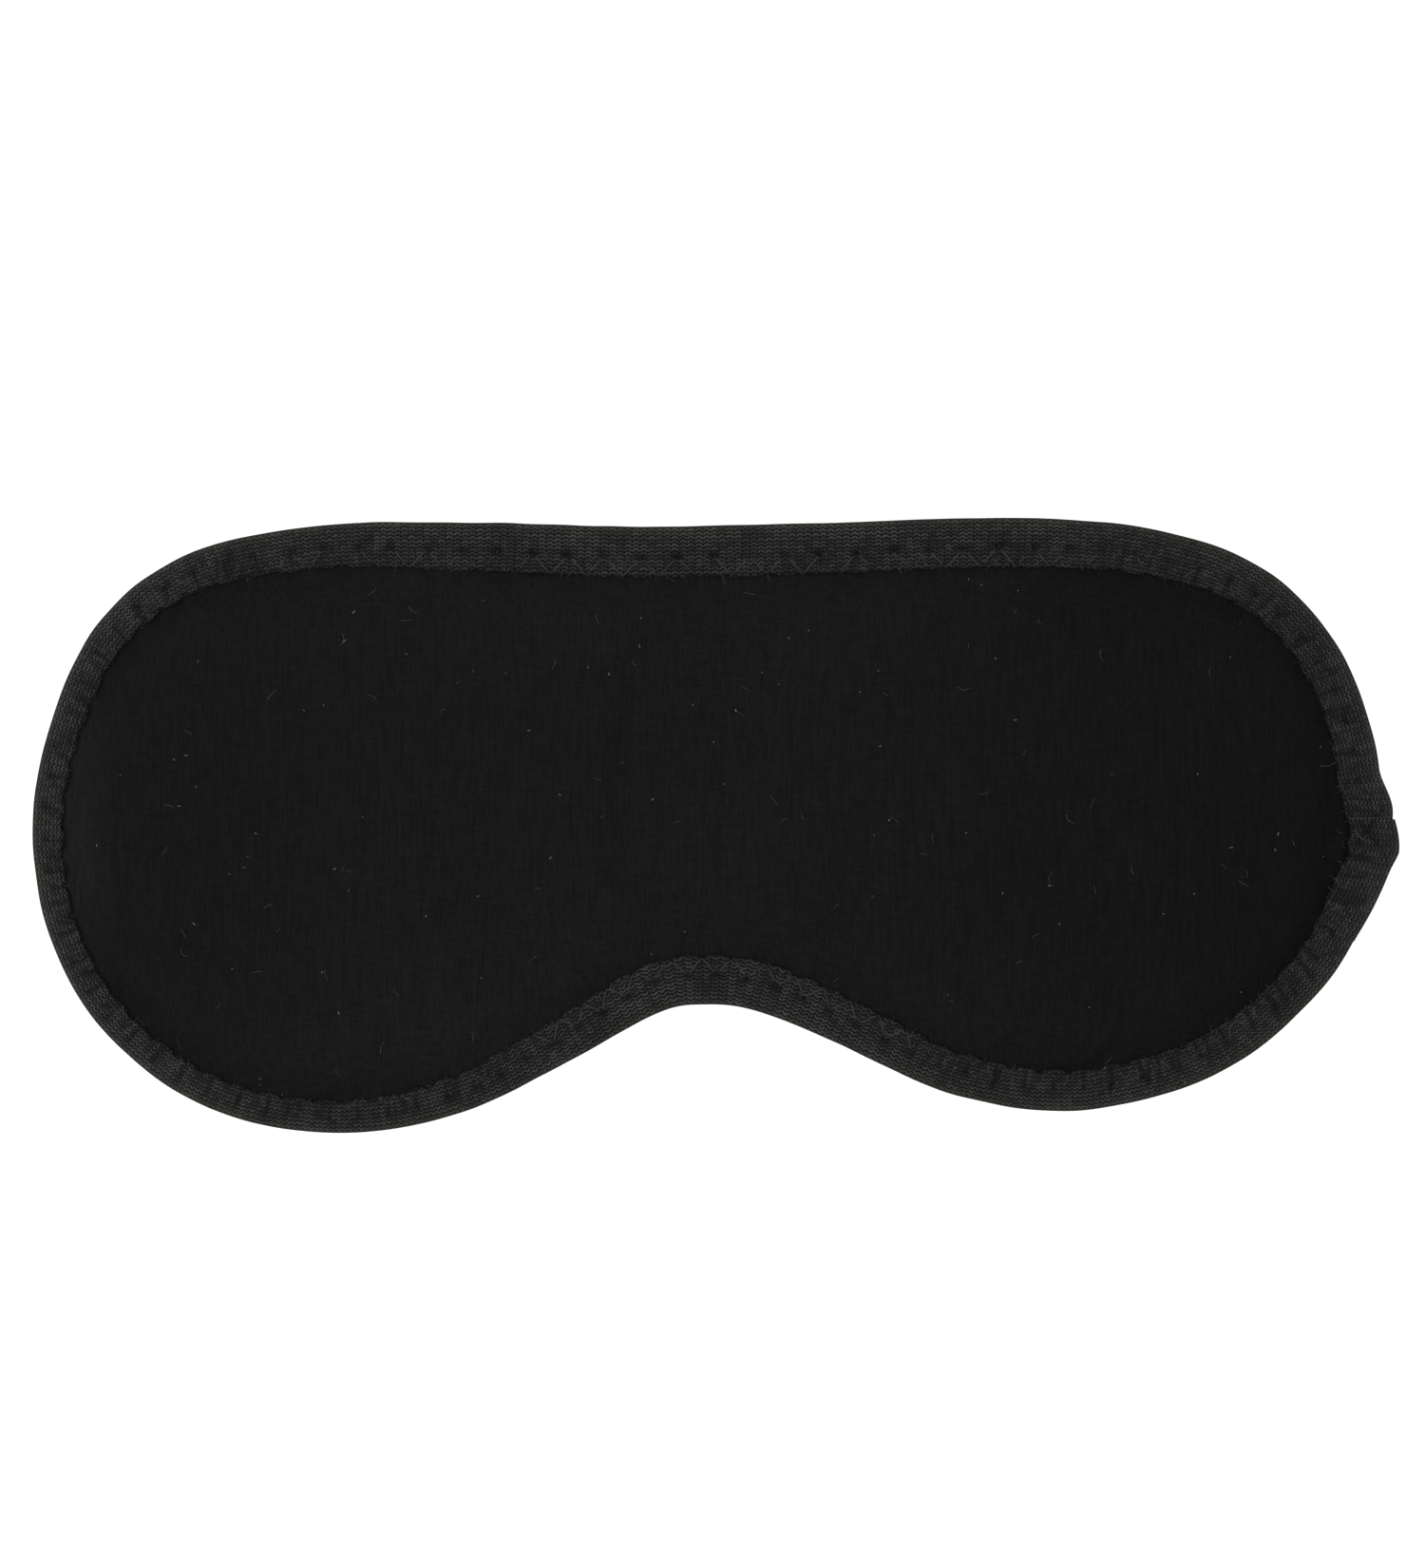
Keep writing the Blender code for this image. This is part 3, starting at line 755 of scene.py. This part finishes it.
def make_panel():
    triangles, front, back = puffed_panel()
    knit = face_knit_material("brushed_knit", rgb(0.0034), rgb(0.0061))
    lining = face_knit_material("lining_knit", rgb(0.0040), rgb(0.0105))
    make_cloth("skin_cloth", triangles, back, LINING_THICK, True, lining, "back_lining")
    return make_cloth("face_cloth", triangles, front, FACE_THICK, False, knit, "face_panel")


# ---- the edge tape


def stitch_turn(along):
    """Stitches sewn up to this place: they lie wider apart on the brow and closer at the notch."""
    even = (STITCH_COUNT - len(SQUEEZES)) * along / rim.length
    squeezed = sum(smooth((along - NOTCH + reach) / (2 * reach)) for reach in SQUEEZES)
    crowd = STITCH_CROWD * sin(2 * pi * (along - 0.012) / rim.length)
    return even + squeezed - crowd + STITCH_START


def stitch_place(turn):
    """The length round the rim where this stitch lies."""
    along = turn * PITCH
    for _ in range(6):
        along += (turn - stitch_turn(along)) * PITCH
    return along


def stitch_phase(along):
    """0 at a needle hole on the tape, 1 halfway to the next, where the thread dips off its edge."""
    share = stitch_turn(along) % 1.0
    return 1 - abs(2 * share - 1)


def stitch_shift(along):
    """Signed distance along the rim to the nearest needle hole on the tape."""
    share = stitch_turn(along) % 1.0
    return (share if share < 0.5 else share - 1) * PITCH


def broad(width):
    """0 where little of the tape shows, so the seam drowns in its fold, and 1 where all of it does."""
    return smooth((width - 0.0044) / 0.0016)


def wobble(along, seed, size):
    """Smooth noise round the rim that closes on itself."""
    turn = 2 * pi * along / rim.length
    reach = rim.length / (2 * pi * size)
    return noise.noise(Vector((cos(turn) * reach, sin(turn) * reach, seed)))


def tape_width(along, width):
    """The tape's visible width: a little scalloped by the seam, uneven, and pulled out by the lap."""
    scallop = 0.00012 * (1 - stitch_phase(along)) - 0.00014 * stitch_phase(along) ** 3
    gathers = 0.9 * rim.gathered(along) * (1 + 1.4 * wobble(along, 81.0, 0.006))
    scallop *= 1 + 1.5 * bump(along - NOTCH, 0.045) + gathers
    pulled = 0.0019 * bump(along - LAP_CORNER + 0.0010, 0.0056)
    ragged = 0.00016 * wobble(along, 7.0, 0.004) + 0.00012 * wobble(along, 17.0, 0.0009)
    return width + 0.00016 + scallop + ragged - pulled


def tape_surface(along, inset, width, side):
    """(height of the tape over the middle depth, painted shade for its needle holes, pulls, pleats and the
    line under its inner edge) at an inset.
    """
    round_off = TAPE_HALF * sqrt(max(0.0, 1 - (1 - min(1.0, inset / TAPE_HALF)) ** 2))
    seam = width - STITCH_DEPTH
    dx = stitch_shift(along) + 0.0004 * wobble(along, 31.0, 0.010)
    shown = broad(width)
    gathered = rim.gathered(along)
    hole = bump(dx, 0.00100) * bump(inset - seam, 0.00064)
    hole *= (0.45 + 0.55 * shown) * (1 - 0.62 * gathered)
    groove = bump(inset - seam, 0.0010) * shown
    pleat = wobble(along + 0.25 * inset, 71.0, 0.0012)
    pleat = smooth((pleat - 0.02) / 0.45) * smooth((inset - 0.0013) / 0.0012)
    lean = 0.35 * wobble(along, 91.0, 0.020) * (inset - seam)
    drawn = bump(dx - lean, 0.00038) * smooth((inset - seam + 0.0003) / 0.0006)
    pleat = max(pleat, 1.3 * drawn * gathered)
    pleat *= (0.30 + 0.70 * gathered) * (1 - smooth((inset - width + 0.0004) / 0.0004))
    pull = bump(PITCH / 2 - abs(dx), 0.0008) * bump(inset - width, 0.0010)
    puff = sin(pi * min(1.0, max(0.0, inset / max(seam, 0.001)))) * 0.00012
    lip = smooth((inset - seam) / 0.0012) * (1 - smooth((inset - width + 0.0006) / 0.0007))
    puckers = 0.00010 * wobble(along, 3.0 + side, 0.0022) * smooth(inset / 0.002)
    on_lap = smooth((along - UNDER_TOP) / 0.005) * (1 - smooth((along - LAP_END + 0.006) / 0.004))
    deep = 1 - 0.75 * on_lap
    deep *= 0.8 + 0.5 * wobble(along, 41.0, 0.012)
    height = round_off + puff + 0.00014 * lip + puckers
    height -= (0.00034 * hole + 0.00022 * pull) * deep + 0.00012 * groove + 0.00014 * pleat
    height -= 0.00040 * smooth((inset - width + 0.0005) / 0.0006)
    # Painted shadow: a dark line along the tape's inner edge, where it curls under.
    painted_edge_shadow = smooth((inset - width + 0.00034) / 0.00030)
    # The second value is painted shade, darkest in the needle holes, pulls and pleats.
    return height, min(1.0, (hole * 1.15 + 0.22 * pull) * deep + 0.60 * pleat + painted_edge_shadow)


def rim_shift(along):
    """How far the tape's fold stands out of the pattern: uneven, and eased round the lap's corner."""
    uneven = 0.00010 * wobble(along, 1.0, 0.006)
    if UNDER_TOP < along < LAP_END:
        rise = smooth((along - UNDER_TOP) / (UNDER_FULL - UNDER_TOP)) * 0.00175
        uneven += rise * (1 - smooth((along - LAP_TOP) / (LAP_END - LAP_TOP)))
    return uneven


def lap_shift(along):
    """The lap's blunt corner: out in a slant from its cut end, then straight back to the rim."""
    top, corner, end = 0.0021, 0.0031, 0.0001
    if along < LAP_CORNER:
        share = (along - LAP_TOP) / (LAP_CORNER - LAP_TOP)
        return top + (corner - top) * sin(share * pi / 2)
    share = (along - LAP_CORNER) / (LAP_END - LAP_CORNER)
    blunt = 0.00035
    return end + (corner - end - blunt) * (1 - share) ** 1.35 + blunt * bump(share, 0.12)


def lap_crease(point):
    """(depth, painted shade) of the folds that cross at the lap."""
    sunk, dark = 0.0, 0.0
    for start, end, depth, wide in CREASES:
        run, reach = Vector(end) - Vector(start), point - Vector(start)
        share = min(1.0, max(0.0, reach.dot(run) / run.length_squared))
        fold = bump((reach - run * share).length, wide)
        fold *= min(1.0, 1.7 * sin(pi * (0.08 + 0.84 * share)))
        sunk = max(sunk, depth * fold)
        # Painted shade along each fold.
        dark = max(dark, 0.85 * fold)
    return sunk, dark


def tape_line(along, shift, lift):
    """The tape's section here, from the front inner edge round the fold to the back one."""
    spot, normal, width = rim.at(along)
    wide = tape_width(along, width)
    turn_steps, flat_steps = 7, 22
    section = []
    insets = [wide - (wide - TAPE_HALF) * i / flat_steps for i in range(flat_steps)]
    insets += [TAPE_HALF * (1 - sin(pi / 2 * i / turn_steps)) for i in range(turn_steps)]
    for side in (1, -1):
        half = []
        for inset in insets:
            height, painted_shade = tape_surface(along, inset, wide, side)
            share = 1 - min(1.0, inset / wide)
            edge = spot - normal * (inset - shift * share)
            raised = height + lift * smooth(inset / TAPE_HALF)
            if side > 0 and edge.x > 0.095:
                sunk, dark = lap_crease(edge)
                raised -= sunk
                # The lap's creases add painted shade as well as depth.
                painted_shade = max(painted_shade, dark)
            across = side * (inset * (1 + shift / wide) + HALF_FOLD)
            half.append((place(edge, MIDDLE + side * raised), across, painted_shade))
        if side > 0:
            half.append((place(spot + normal * shift, MIDDLE), 0.0, 0.0))
        else:
            half.reverse()
        section += half
    return zip(*section)


def lap_lift(along):
    """How far the lap lies over the tape under it: it sinks in at its far end, which doesn't show."""
    return LAP_LIFT * (1 - smooth((along - LAP_END + 0.006) / 0.006)) - 0.00008


def make_tape(name, start, end, closed, shift_of, lift_of, material, replaced):
    count = ceil((end - start) / TAPE_ALONG)
    rows, strips, painted_shades = [], [], []
    for i in range(count + (0 if closed else 1)):
        along = start + (end - start) * i / count
        for found, part in zip((rows, strips, painted_shades), tape_line(along, shift_of(along), lift_of(along))):
            found.append(part)

    laid = [start / MM / LOOP]
    for i in range(count):
        along = start + (end - start) * (i + 0.5) / count
        laid.append(laid[-1] + (end - start) / count / MM / LOOP * (1 + 0.38 * rim.gathered(along)))
    whole = round(laid[-1]) / laid[-1] if closed else 1.0

    def strip_of(i, j):
        return laid[i] * whole * LOOP, strips[i % len(rows)][j] / MM

    data = grid_mesh(name, rows, strip_of, closed_rows=closed, values=painted_shades)
    piece = finish_piece(name, outwards(data), material)
    add_modifier(piece, "SOLIDIFY", thickness=TAPE_CLOTH, offset=-1.0)
    apply_modifiers(piece)
    shade(piece.data)
    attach(piece, "panel")
    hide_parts(replaced)
    return piece


def make_tapes():
    knit = knit_tape_material("knit_tape")
    ring = (0.0, rim.length, True, rim_shift, lambda along: 0.0)
    lap = (LAP_TOP, LAP_END, False, lap_shift, lap_lift)
    return (
        make_tape("edge_tape", *ring, knit, "edge_binding"),
        make_tape("tape_lap", *lap, knit, "binding_end_fold"),
    )


# ---- the zigzag seam


def seam_path(side):
    """The thread: up out of a needle hole, along the tape to its edge, and down there."""
    steps = 8
    path = []
    for leg in range(2 * STITCH_COUNT):
        for i in range(steps):
            share = i / steps
            inwards = share if leg % 2 == 0 else 1 - share
            along = stitch_place((leg + share) / 2)
            spot, normal, width = rim.at(along)
            wide = tape_width(along, width)
            inset = wide - STITCH_DEPTH + (STITCH_DEPTH + 0.00010) * inwards
            height = tape_surface(along, min(inset, wide), wide, side)[0]
            on_lap = LAP_LIFT if LAP_TOP < along < LAP_END - 0.003 else 0.0
            dive = 0.00034 * (1 - smooth(inwards / 0.30)) + 0.00026 * bump(1 - inwards, 0.14)
            buried = max(1 - broad(width), 0.8 * rim.gathered(along), 0.9 if on_lap else 0.0)
            proud = 0.00009 * bump(along - NOTCH, 0.040)
            sunk = 0.00004 + 0.00024 * wobble(along, 53.0, 0.0045) + 0.00016 * buried - proud
            height += on_lap - dive - sunk
            path.append(place(spot - normal * inset, MIDDLE + side * height))
    return path


def make_seams():
    material = thread_material("seam_thread")
    for name, side in (("seam_thread_front", 1), ("seam_thread_back", -1)):
        piece = tube(name.replace("seam", "zigzag"), seam_path(side), 0.00012, material, 5, True)
        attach(piece, "panel")
        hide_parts(name)


# ---- lint and loose fibres


def surface_under(pieces):
    """A search over the faces of these pieces, for laying fibres on them."""
    points, faces = [], []
    for piece in pieces:
        first = len(points)
        points += [vertex.co.copy() for vertex in piece.data.vertices]
        faces += [[first + i for i in face.vertices] for face in piece.data.polygons]
    return BVHTree.FromPolygons(points, faces)


def lay_fibre(tree, start, heading, length, radius, bend, steps):
    """A path that curls over the front of the cloth from start, or nothing if it leaves it."""
    spot, path = Vector(start), []
    for _ in range(steps + 1):
        found = tree.ray_cast(Vector((spot.x, -0.05, spot.y)), Vector((0, 1, 0)))
        if found[0] is None:
            return []
        path.append(found[0] + found[1] * radius * 0.6)
        heading += bend / steps
        spot += Vector((cos(heading), sin(heading))) * length / steps
    return path


def make_fibres(name, paths, radius, material, sides=4):
    """Many short fibres as one piece, without those that ran off the cloth."""
    strands = [tube("strand", path, radius, material, sides) for path in paths if path]
    piece = join(name, strands)
    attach(piece, "panel")
    return piece


def make_lint(cloth, tape, lap):
    random = Random(11)
    tree = surface_under([cloth, tape, lap])
    pale = lint_material("lint", rgb(0.13), rgb(0.05))
    dull = lint_material("fuzz", rgb(0.040), rgb(0.020))

    def anywhere():
        return random.uniform(-0.094, 0.096), random.uniform(-0.042, 0.040)

    specks = []
    for _ in range(SPECKS):
        start = anywhere()
        size = 0.00022 * (1 + 1.6 * random.random() ** 3)
        specks.append(lay_fibre(tree, start, random.uniform(0, 6.3), size, 0.00005, 1.0, 2))
    make_fibres("lint_specks", specks, 0.000055, pale)
    hairs = []
    for _ in range(HAIRS):
        start = anywhere()
        length = random.uniform(0.0006, 0.0020)
        bend = random.uniform(-1.6, 1.6)
        hairs.append(lay_fibre(tree, start, random.uniform(0, 6.3), length, 0.00002, bend, 6))
    make_fibres("lint_hairs", hairs, 0.000035, dull)
    fuzz = []
    for _ in range(FUZZ):
        spot, normal, width = rim.at(random.uniform(0, rim.length))
        along_rim = Vector((normal.y, -normal.x))
        inset = width * random.uniform(0.55, 1.03)
        heading = -normal + along_rim * random.uniform(-1.5, 1.5)
        start = spot - normal * inset
        turn = Vector((1, 0)).angle_signed(heading) * -1
        length = random.uniform(0.0003, 0.0010)
        fuzz.append(lay_fibre(tree, start, turn, length, 0.00003, random.uniform(-1.5, 1.5), 4))
    make_fibres("tape_fuzz", fuzz, 0.00004, dull, 3)
    cut_line = lay_fibre(tree, (0.0966, 0.0009), 0.02, 0.0062, 0.00003, 0.03, 16)
    corner_fleck = lay_fibre(tree, (0.1017, 0.0043), -0.70, 0.0007, 0.00008, 0.30, 3)
    face_thread = lay_fibre(tree, (0.0921, 0.0088), -0.05, 0.0016, 0.00006, 0.15, 5)
    strands = [cut_line, corner_fleck, face_thread]
    make_fibres("cut_edge_strands", strands, 0.00005, dull, 5)


# ---- the strap


def ribbon_section():
    """The strap's section, flat with soft edges: (height, out, across in millimetres)."""
    half, thick = STRAP_HALF, STRAP_THICK
    line = []
    edge_steps, flat_steps = 5, 16
    for side in (1, -1):
        for i in range(flat_steps):
            across = side * (half - thick / 2) * (1 - 2 * i / flat_steps)
            line.append((across, side * thick / 2, across / MM))
        for i in range(edge_steps):
            turn = pi * i / edge_steps
            middle = -side * (half - thick / 2)
            height = middle - side * thick / 2 * sin(turn)
            line.append((height, side * thick / 2 * cos(turn), height / MM))
    return line


def resample(path, step):
    """Evenly spaced points on a smooth curve through a path of (x, y)."""
    points = [Vector(point) for point in path]
    fine = []
    for i in range(len(points) - 1):
        before = points[max(0, i - 1)]
        after = points[min(len(points) - 1, i + 2)]
        for k in range(12):
            fine.append(catmull_rom(before, points[i], points[i + 1], after, k / 12))
    fine.append(points[-1])
    ends = lengths_along(fine)
    count = max(2, ceil(ends[-1] / step))
    made, i = [], 0
    for k in range(count + 1):
        wanted = ends[-1] * k / count
        while i < len(fine) - 2 and ends[i + 1] < wanted:
            i += 1
        share = (wanted - ends[i]) / max(1e-9, ends[i + 1] - ends[i])
        made.append((fine[i].lerp(fine[i + 1], min(1.0, share)), wanted))
    return made


def make_ribbon(name, path, material, start_along=0.0, step=0.0010):
    """A band on edge along an (x, y) path, as a closed solid."""
    section = ribbon_section()
    line = resample(path, step)
    rows = []
    for i, (point, along) in enumerate(line):
        ahead = line[min(i + 1, len(line) - 1)][0]
        behind = line[max(i - 1, 0)][0]
        run = (ahead - behind).normalized()
        out = Vector((run.y, -run.x))
        rows.append(
            [Vector((point.x + out.x * o, point.y + out.y * o, h)) for h, o, across in section]
        )

    def strip(i, j):
        return (start_along + line[min(i, len(line) - 1)][1]) / MM, section[j % len(section)][2]

    data = grid_mesh(name, rows, strip, closed_columns=True)
    return finish_piece(name, outwards(capped(data)), material)


def sewn_line(side, off_skin):
    """The sewn part of a strap end, along the lining."""
    run = STRAP_X - TURN_RADIUS - STITCH_START_X
    places = [STITCH_START_X + run * step / 5 for step in range(6)]
    return [(side * x, sweep(x) + off_skin) for x in places]


def turn_line(side, off_skin, offset, end_y):
    """From there round to the back, and straight on to end_y."""
    centre_x = STRAP_X - TURN_RADIUS
    centre_y = sweep(centre_x) + off_skin + TURN_RADIUS
    radius = TURN_RADIUS + offset
    line = []
    for step in range(1, 7):
        turn = (pi / 2) * step / 6
        line.append((side * (centre_x + radius * sin(turn)), centre_y - radius * cos(turn)))
    steps = 5
    last = line[-1][1]
    for step in range(1, steps + 1):
        line.append((side * (STRAP_X + offset), last + (end_y - last) * step / steps))
    return line


def half_turn(centre_x, centre_y, radius, facing, steps=10):
    """A fold round a bar, from its outer side to its inner one."""
    turns = [pi * step / steps for step in range(steps + 1)]
    return [(centre_x + radius * cos(t), centre_y + facing * radius * sin(t)) for t in turns]


def make_strap():
    elastic = elastic_material("elastic")
    on_skin = SKIN_GAP + STRAP_THICK / 2

    root = [*sewn_line(-1, on_skin), *turn_line(-1, on_skin, 0.0, SPLIT_Y)]
    left_root = make_ribbon("strap_left_root", root, elastic)
    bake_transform(left_root)
    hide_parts("strap_end_left", "strap_flex_left")

    left_side = make_ribbon(
        "strap_left_side", [(-STRAP_X, SPLIT_Y), (-STRAP_X, RUN_END_Y)], elastic, 0.045
    )
    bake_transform(left_side)
    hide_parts("strap_left_run")

    back_steps = 40
    back = []
    for step in range(back_steps + 1):
        turn = pi * step / back_steps
        back.append((-STRAP_X * cos(turn), RUN_END_Y + BACK_DEPTH * sin(turn)))
    back_run = make_ribbon("strap_back_band", back, elastic, 0.097)
    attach(back_run, "strap_back")
    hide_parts("strap_back_run")

    right = [(STRAP_X, RUN_END_Y), (STRAP_X, 0.090), (STRAP_X, 0.070), (STRAP_X, 0.0560)]
    right += [(STRAP_X - 0.0002, 0.0520), (STRAP_X - 0.0008, 0.0478)]
    right += list(reversed(half_turn(STRAP_X, RING_BACK_Y, FOLD_RADIUS, -1)))
    right += [(STRAP_X + FOLD_RADIUS, 0.0465)]
    right_side = make_ribbon("strap_right_side", right, elastic, 0.0, step=0.0007)
    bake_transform(right_side)
    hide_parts("strap_right_run")

    outer = STRAP_X + CENTRE_BAR_OUT + FOLD_RADIUS
    end = [(STRAP_X + FOLD_RADIUS, 0.0465), (STRAP_X + 0.0018, 0.0495), (STRAP_X + 0.0025, 0.0530)]
    end += [(outer - 0.0004, 0.0570)]
    end += half_turn(STRAP_X + CENTRE_BAR_OUT, SLIDER_Y, FOLD_RADIUS, 1)
    end += [(STRAP_X + CENTRE_BAR_OUT - FOLD_RADIUS, 0.0575), (STRAP_X + 0.0014, 0.0545)]
    strap_end = make_ribbon("strap_returned_end", end, elastic, 0.056, step=0.0007)
    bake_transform(strap_end)
    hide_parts("strap_return", "strap_end_loop")


def make_ring_tab():
    elastic = bpy.data.materials["elastic"]
    layers = 2 * STRAP_THICK + SLIP_GAP
    on_skin = SKIN_GAP + layers / 2
    apart = (STRAP_THICK + SLIP_GAP * 0.1) / 2
    sides = []
    for offset in (apart, -apart):
        sewn = [(x, y - offset) for x, y in sewn_line(1, on_skin)]
        sides.append(sewn + turn_line(1, on_skin, offset, TAB_SPREAD_Y))
    fold = half_turn(STRAP_X, RING_FRONT_Y, FOLD_RADIUS, 1)
    tab = make_ribbon("ring_tab", [*sides[0], *fold, *reversed(sides[1])], elastic, step=0.0007)
    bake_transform(tab)
    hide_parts("ring_tab_end", "ring_tab_flex")


# ---- tacks


def tack_path(corner, swing, rise, out):
    """A dense zigzag with each leg humped over the cloth."""
    path = []
    steps = 4
    for leg in range(TACK_LEGS):
        for i in range(steps):
            share = i / steps
            across = share if leg % 2 == 0 else 1 - share
            hump = out * (0.35 + 0.65 * sin(pi * share))
            path.append(corner + swing * across + rise * ((leg + share) / TACK_LEGS) + hump)
    return path


def make_tacks():
    material = thread_material("tack_thread")
    lift = 0.00016
    rise = Vector((0, 0, 2 * TACK_HALF))
    layers = {-1: STRAP_THICK, 1: 2 * STRAP_THICK + SLIP_GAP}
    for name, side in (("bar_tack_left", -1), ("bar_tack_right", 1)):
        x, reach = 0.0785, 0.0030
        top = SKIN_GAP + layers[side]
        corner = Vector((side * x, sweep(x) + top, -TACK_HALF))
        swing = Vector((side * reach, sweep(x + reach) - sweep(x), 0))
        path = tack_path(corner, swing, rise, Vector((0, lift, 0)))
        piece = tube(name + "_thread", path, TACK_RADIUS, material, 5)
        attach(piece, "panel")
        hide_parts(name)
    base = Vector((STRAP_X + 0.0026, 0.0532, -TACK_HALF))
    tip = Vector((STRAP_X + 0.0032, 0.0562, -TACK_HALF))
    swing = tip - base
    out = Vector((swing.y, -swing.x, 0)).normalized()
    path = tack_path(base + out * STRAP_THICK / 2, swing, rise, out * lift)
    piece = tube("end_loop_tack_thread", path, TACK_RADIUS, material, 5)
    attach(piece, "slider")
    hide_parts("end_loop_tack")


# ---- hardware


def make_ring():
    """A moulded oblong ring with rounded corners."""
    material = plastic_material("ring_nylon")
    box_low, box_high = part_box("strap_ring")
    half_z = (box_high[2] - box_low[2]) / 2 - BAR_RADIUS
    mid_y = (RING_FRONT_Y + RING_BACK_Y) / 2
    half_y = (RING_BACK_Y - RING_FRONT_Y) / 2
    corner = 0.0024
    path = []
    for quarter in range(4):
        for step in range(12):
            turn = (pi / 2) * (quarter + step / 12)
            side_y = 1 if quarter in (0, 3) else -1
            side_z = 1 if quarter in (0, 1) else -1
            y = mid_y + side_y * (half_y - corner) + corner * cos(turn)
            z = side_z * (half_z - corner) + corner * sin(turn)
            path.append(Vector((STRAP_X, y, z)))
    ring = tube("ring_moulding", path, BAR_RADIUS, material, 14, True)
    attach(ring, "head_strap")
    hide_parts("strap_ring")


def ball(spot, radius, material):
    """A rounded junction, to be fused with the bars that meet there."""
    data = bpy.data.meshes.new("ball")
    bm = bmesh.new()
    bmesh.ops.create_icosphere(bm, subdivisions=3, radius=radius)
    bmesh.ops.translate(bm, verts=bm.verts, vec=spot)
    bm.to_mesh(data)
    bm.free()
    return finish_piece("ball", data, material)


def make_slider():
    """Three bars and two arched rails, fused and rounded like a moulding."""
    material = plastic_material("slider_nylon")
    half, half_height = 0.0055, 0.0115
    parts = []
    for side in (1, -1):
        arch = []
        for step in range(25):
            share = step / 12 - 1
            rise = cos(share * pi / 2) ** 1.5 if abs(share) < 1 else 0.0
            out = END_BAR_OUT + (CENTRE_BAR_OUT - END_BAR_OUT) * rise
            arch.append(Vector((STRAP_X + out, SLIDER_Y + share * half, side * half_height)))
        parts.append(tube(f"rail_{side}", arch, 0.00095, material, 16))
        parts += [ball(arch[i], 0.00098, material) for i in (0, 12, 24)]
    for along, out in ((-half, END_BAR_OUT), (0.0, CENTRE_BAR_OUT), (half, END_BAR_OUT)):
        bar = [
            Vector((STRAP_X + out, SLIDER_Y + along, half_height * (step / 10 - 1)))
            for step in range(21)
        ]
        parts.append(tube("bar", bar, BAR_RADIUS, material, 16))
    slider = join("slider_moulding", parts)
    add_modifier(slider, "REMESH", mode="VOXEL", voxel_size=0.00016, use_smooth_shade=True)
    add_modifier(slider, "SMOOTH", factor=0.5, iterations=12)
    apply_modifiers(slider)
    slider.data.shade_smooth()
    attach(slider, "slider")
    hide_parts("strap_slider")


def dress_hidden_nodes():
    """The core stays as the frame has it, in its own materials."""
    for node, material in (
        ("foam_pad", foam_material("foam")),
        ("blackout_liner", film_material("blackout_film")),
    ):
        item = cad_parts[node]
        for slot in item.material_slots:
            slot.material = material


make_stage()
face = make_panel()
tapes = make_tapes()
make_seams()
make_lint(face, *tapes)
make_strap()
make_ring_tab()
make_tacks()
make_ring()
make_slider()
dress_hidden_nodes()
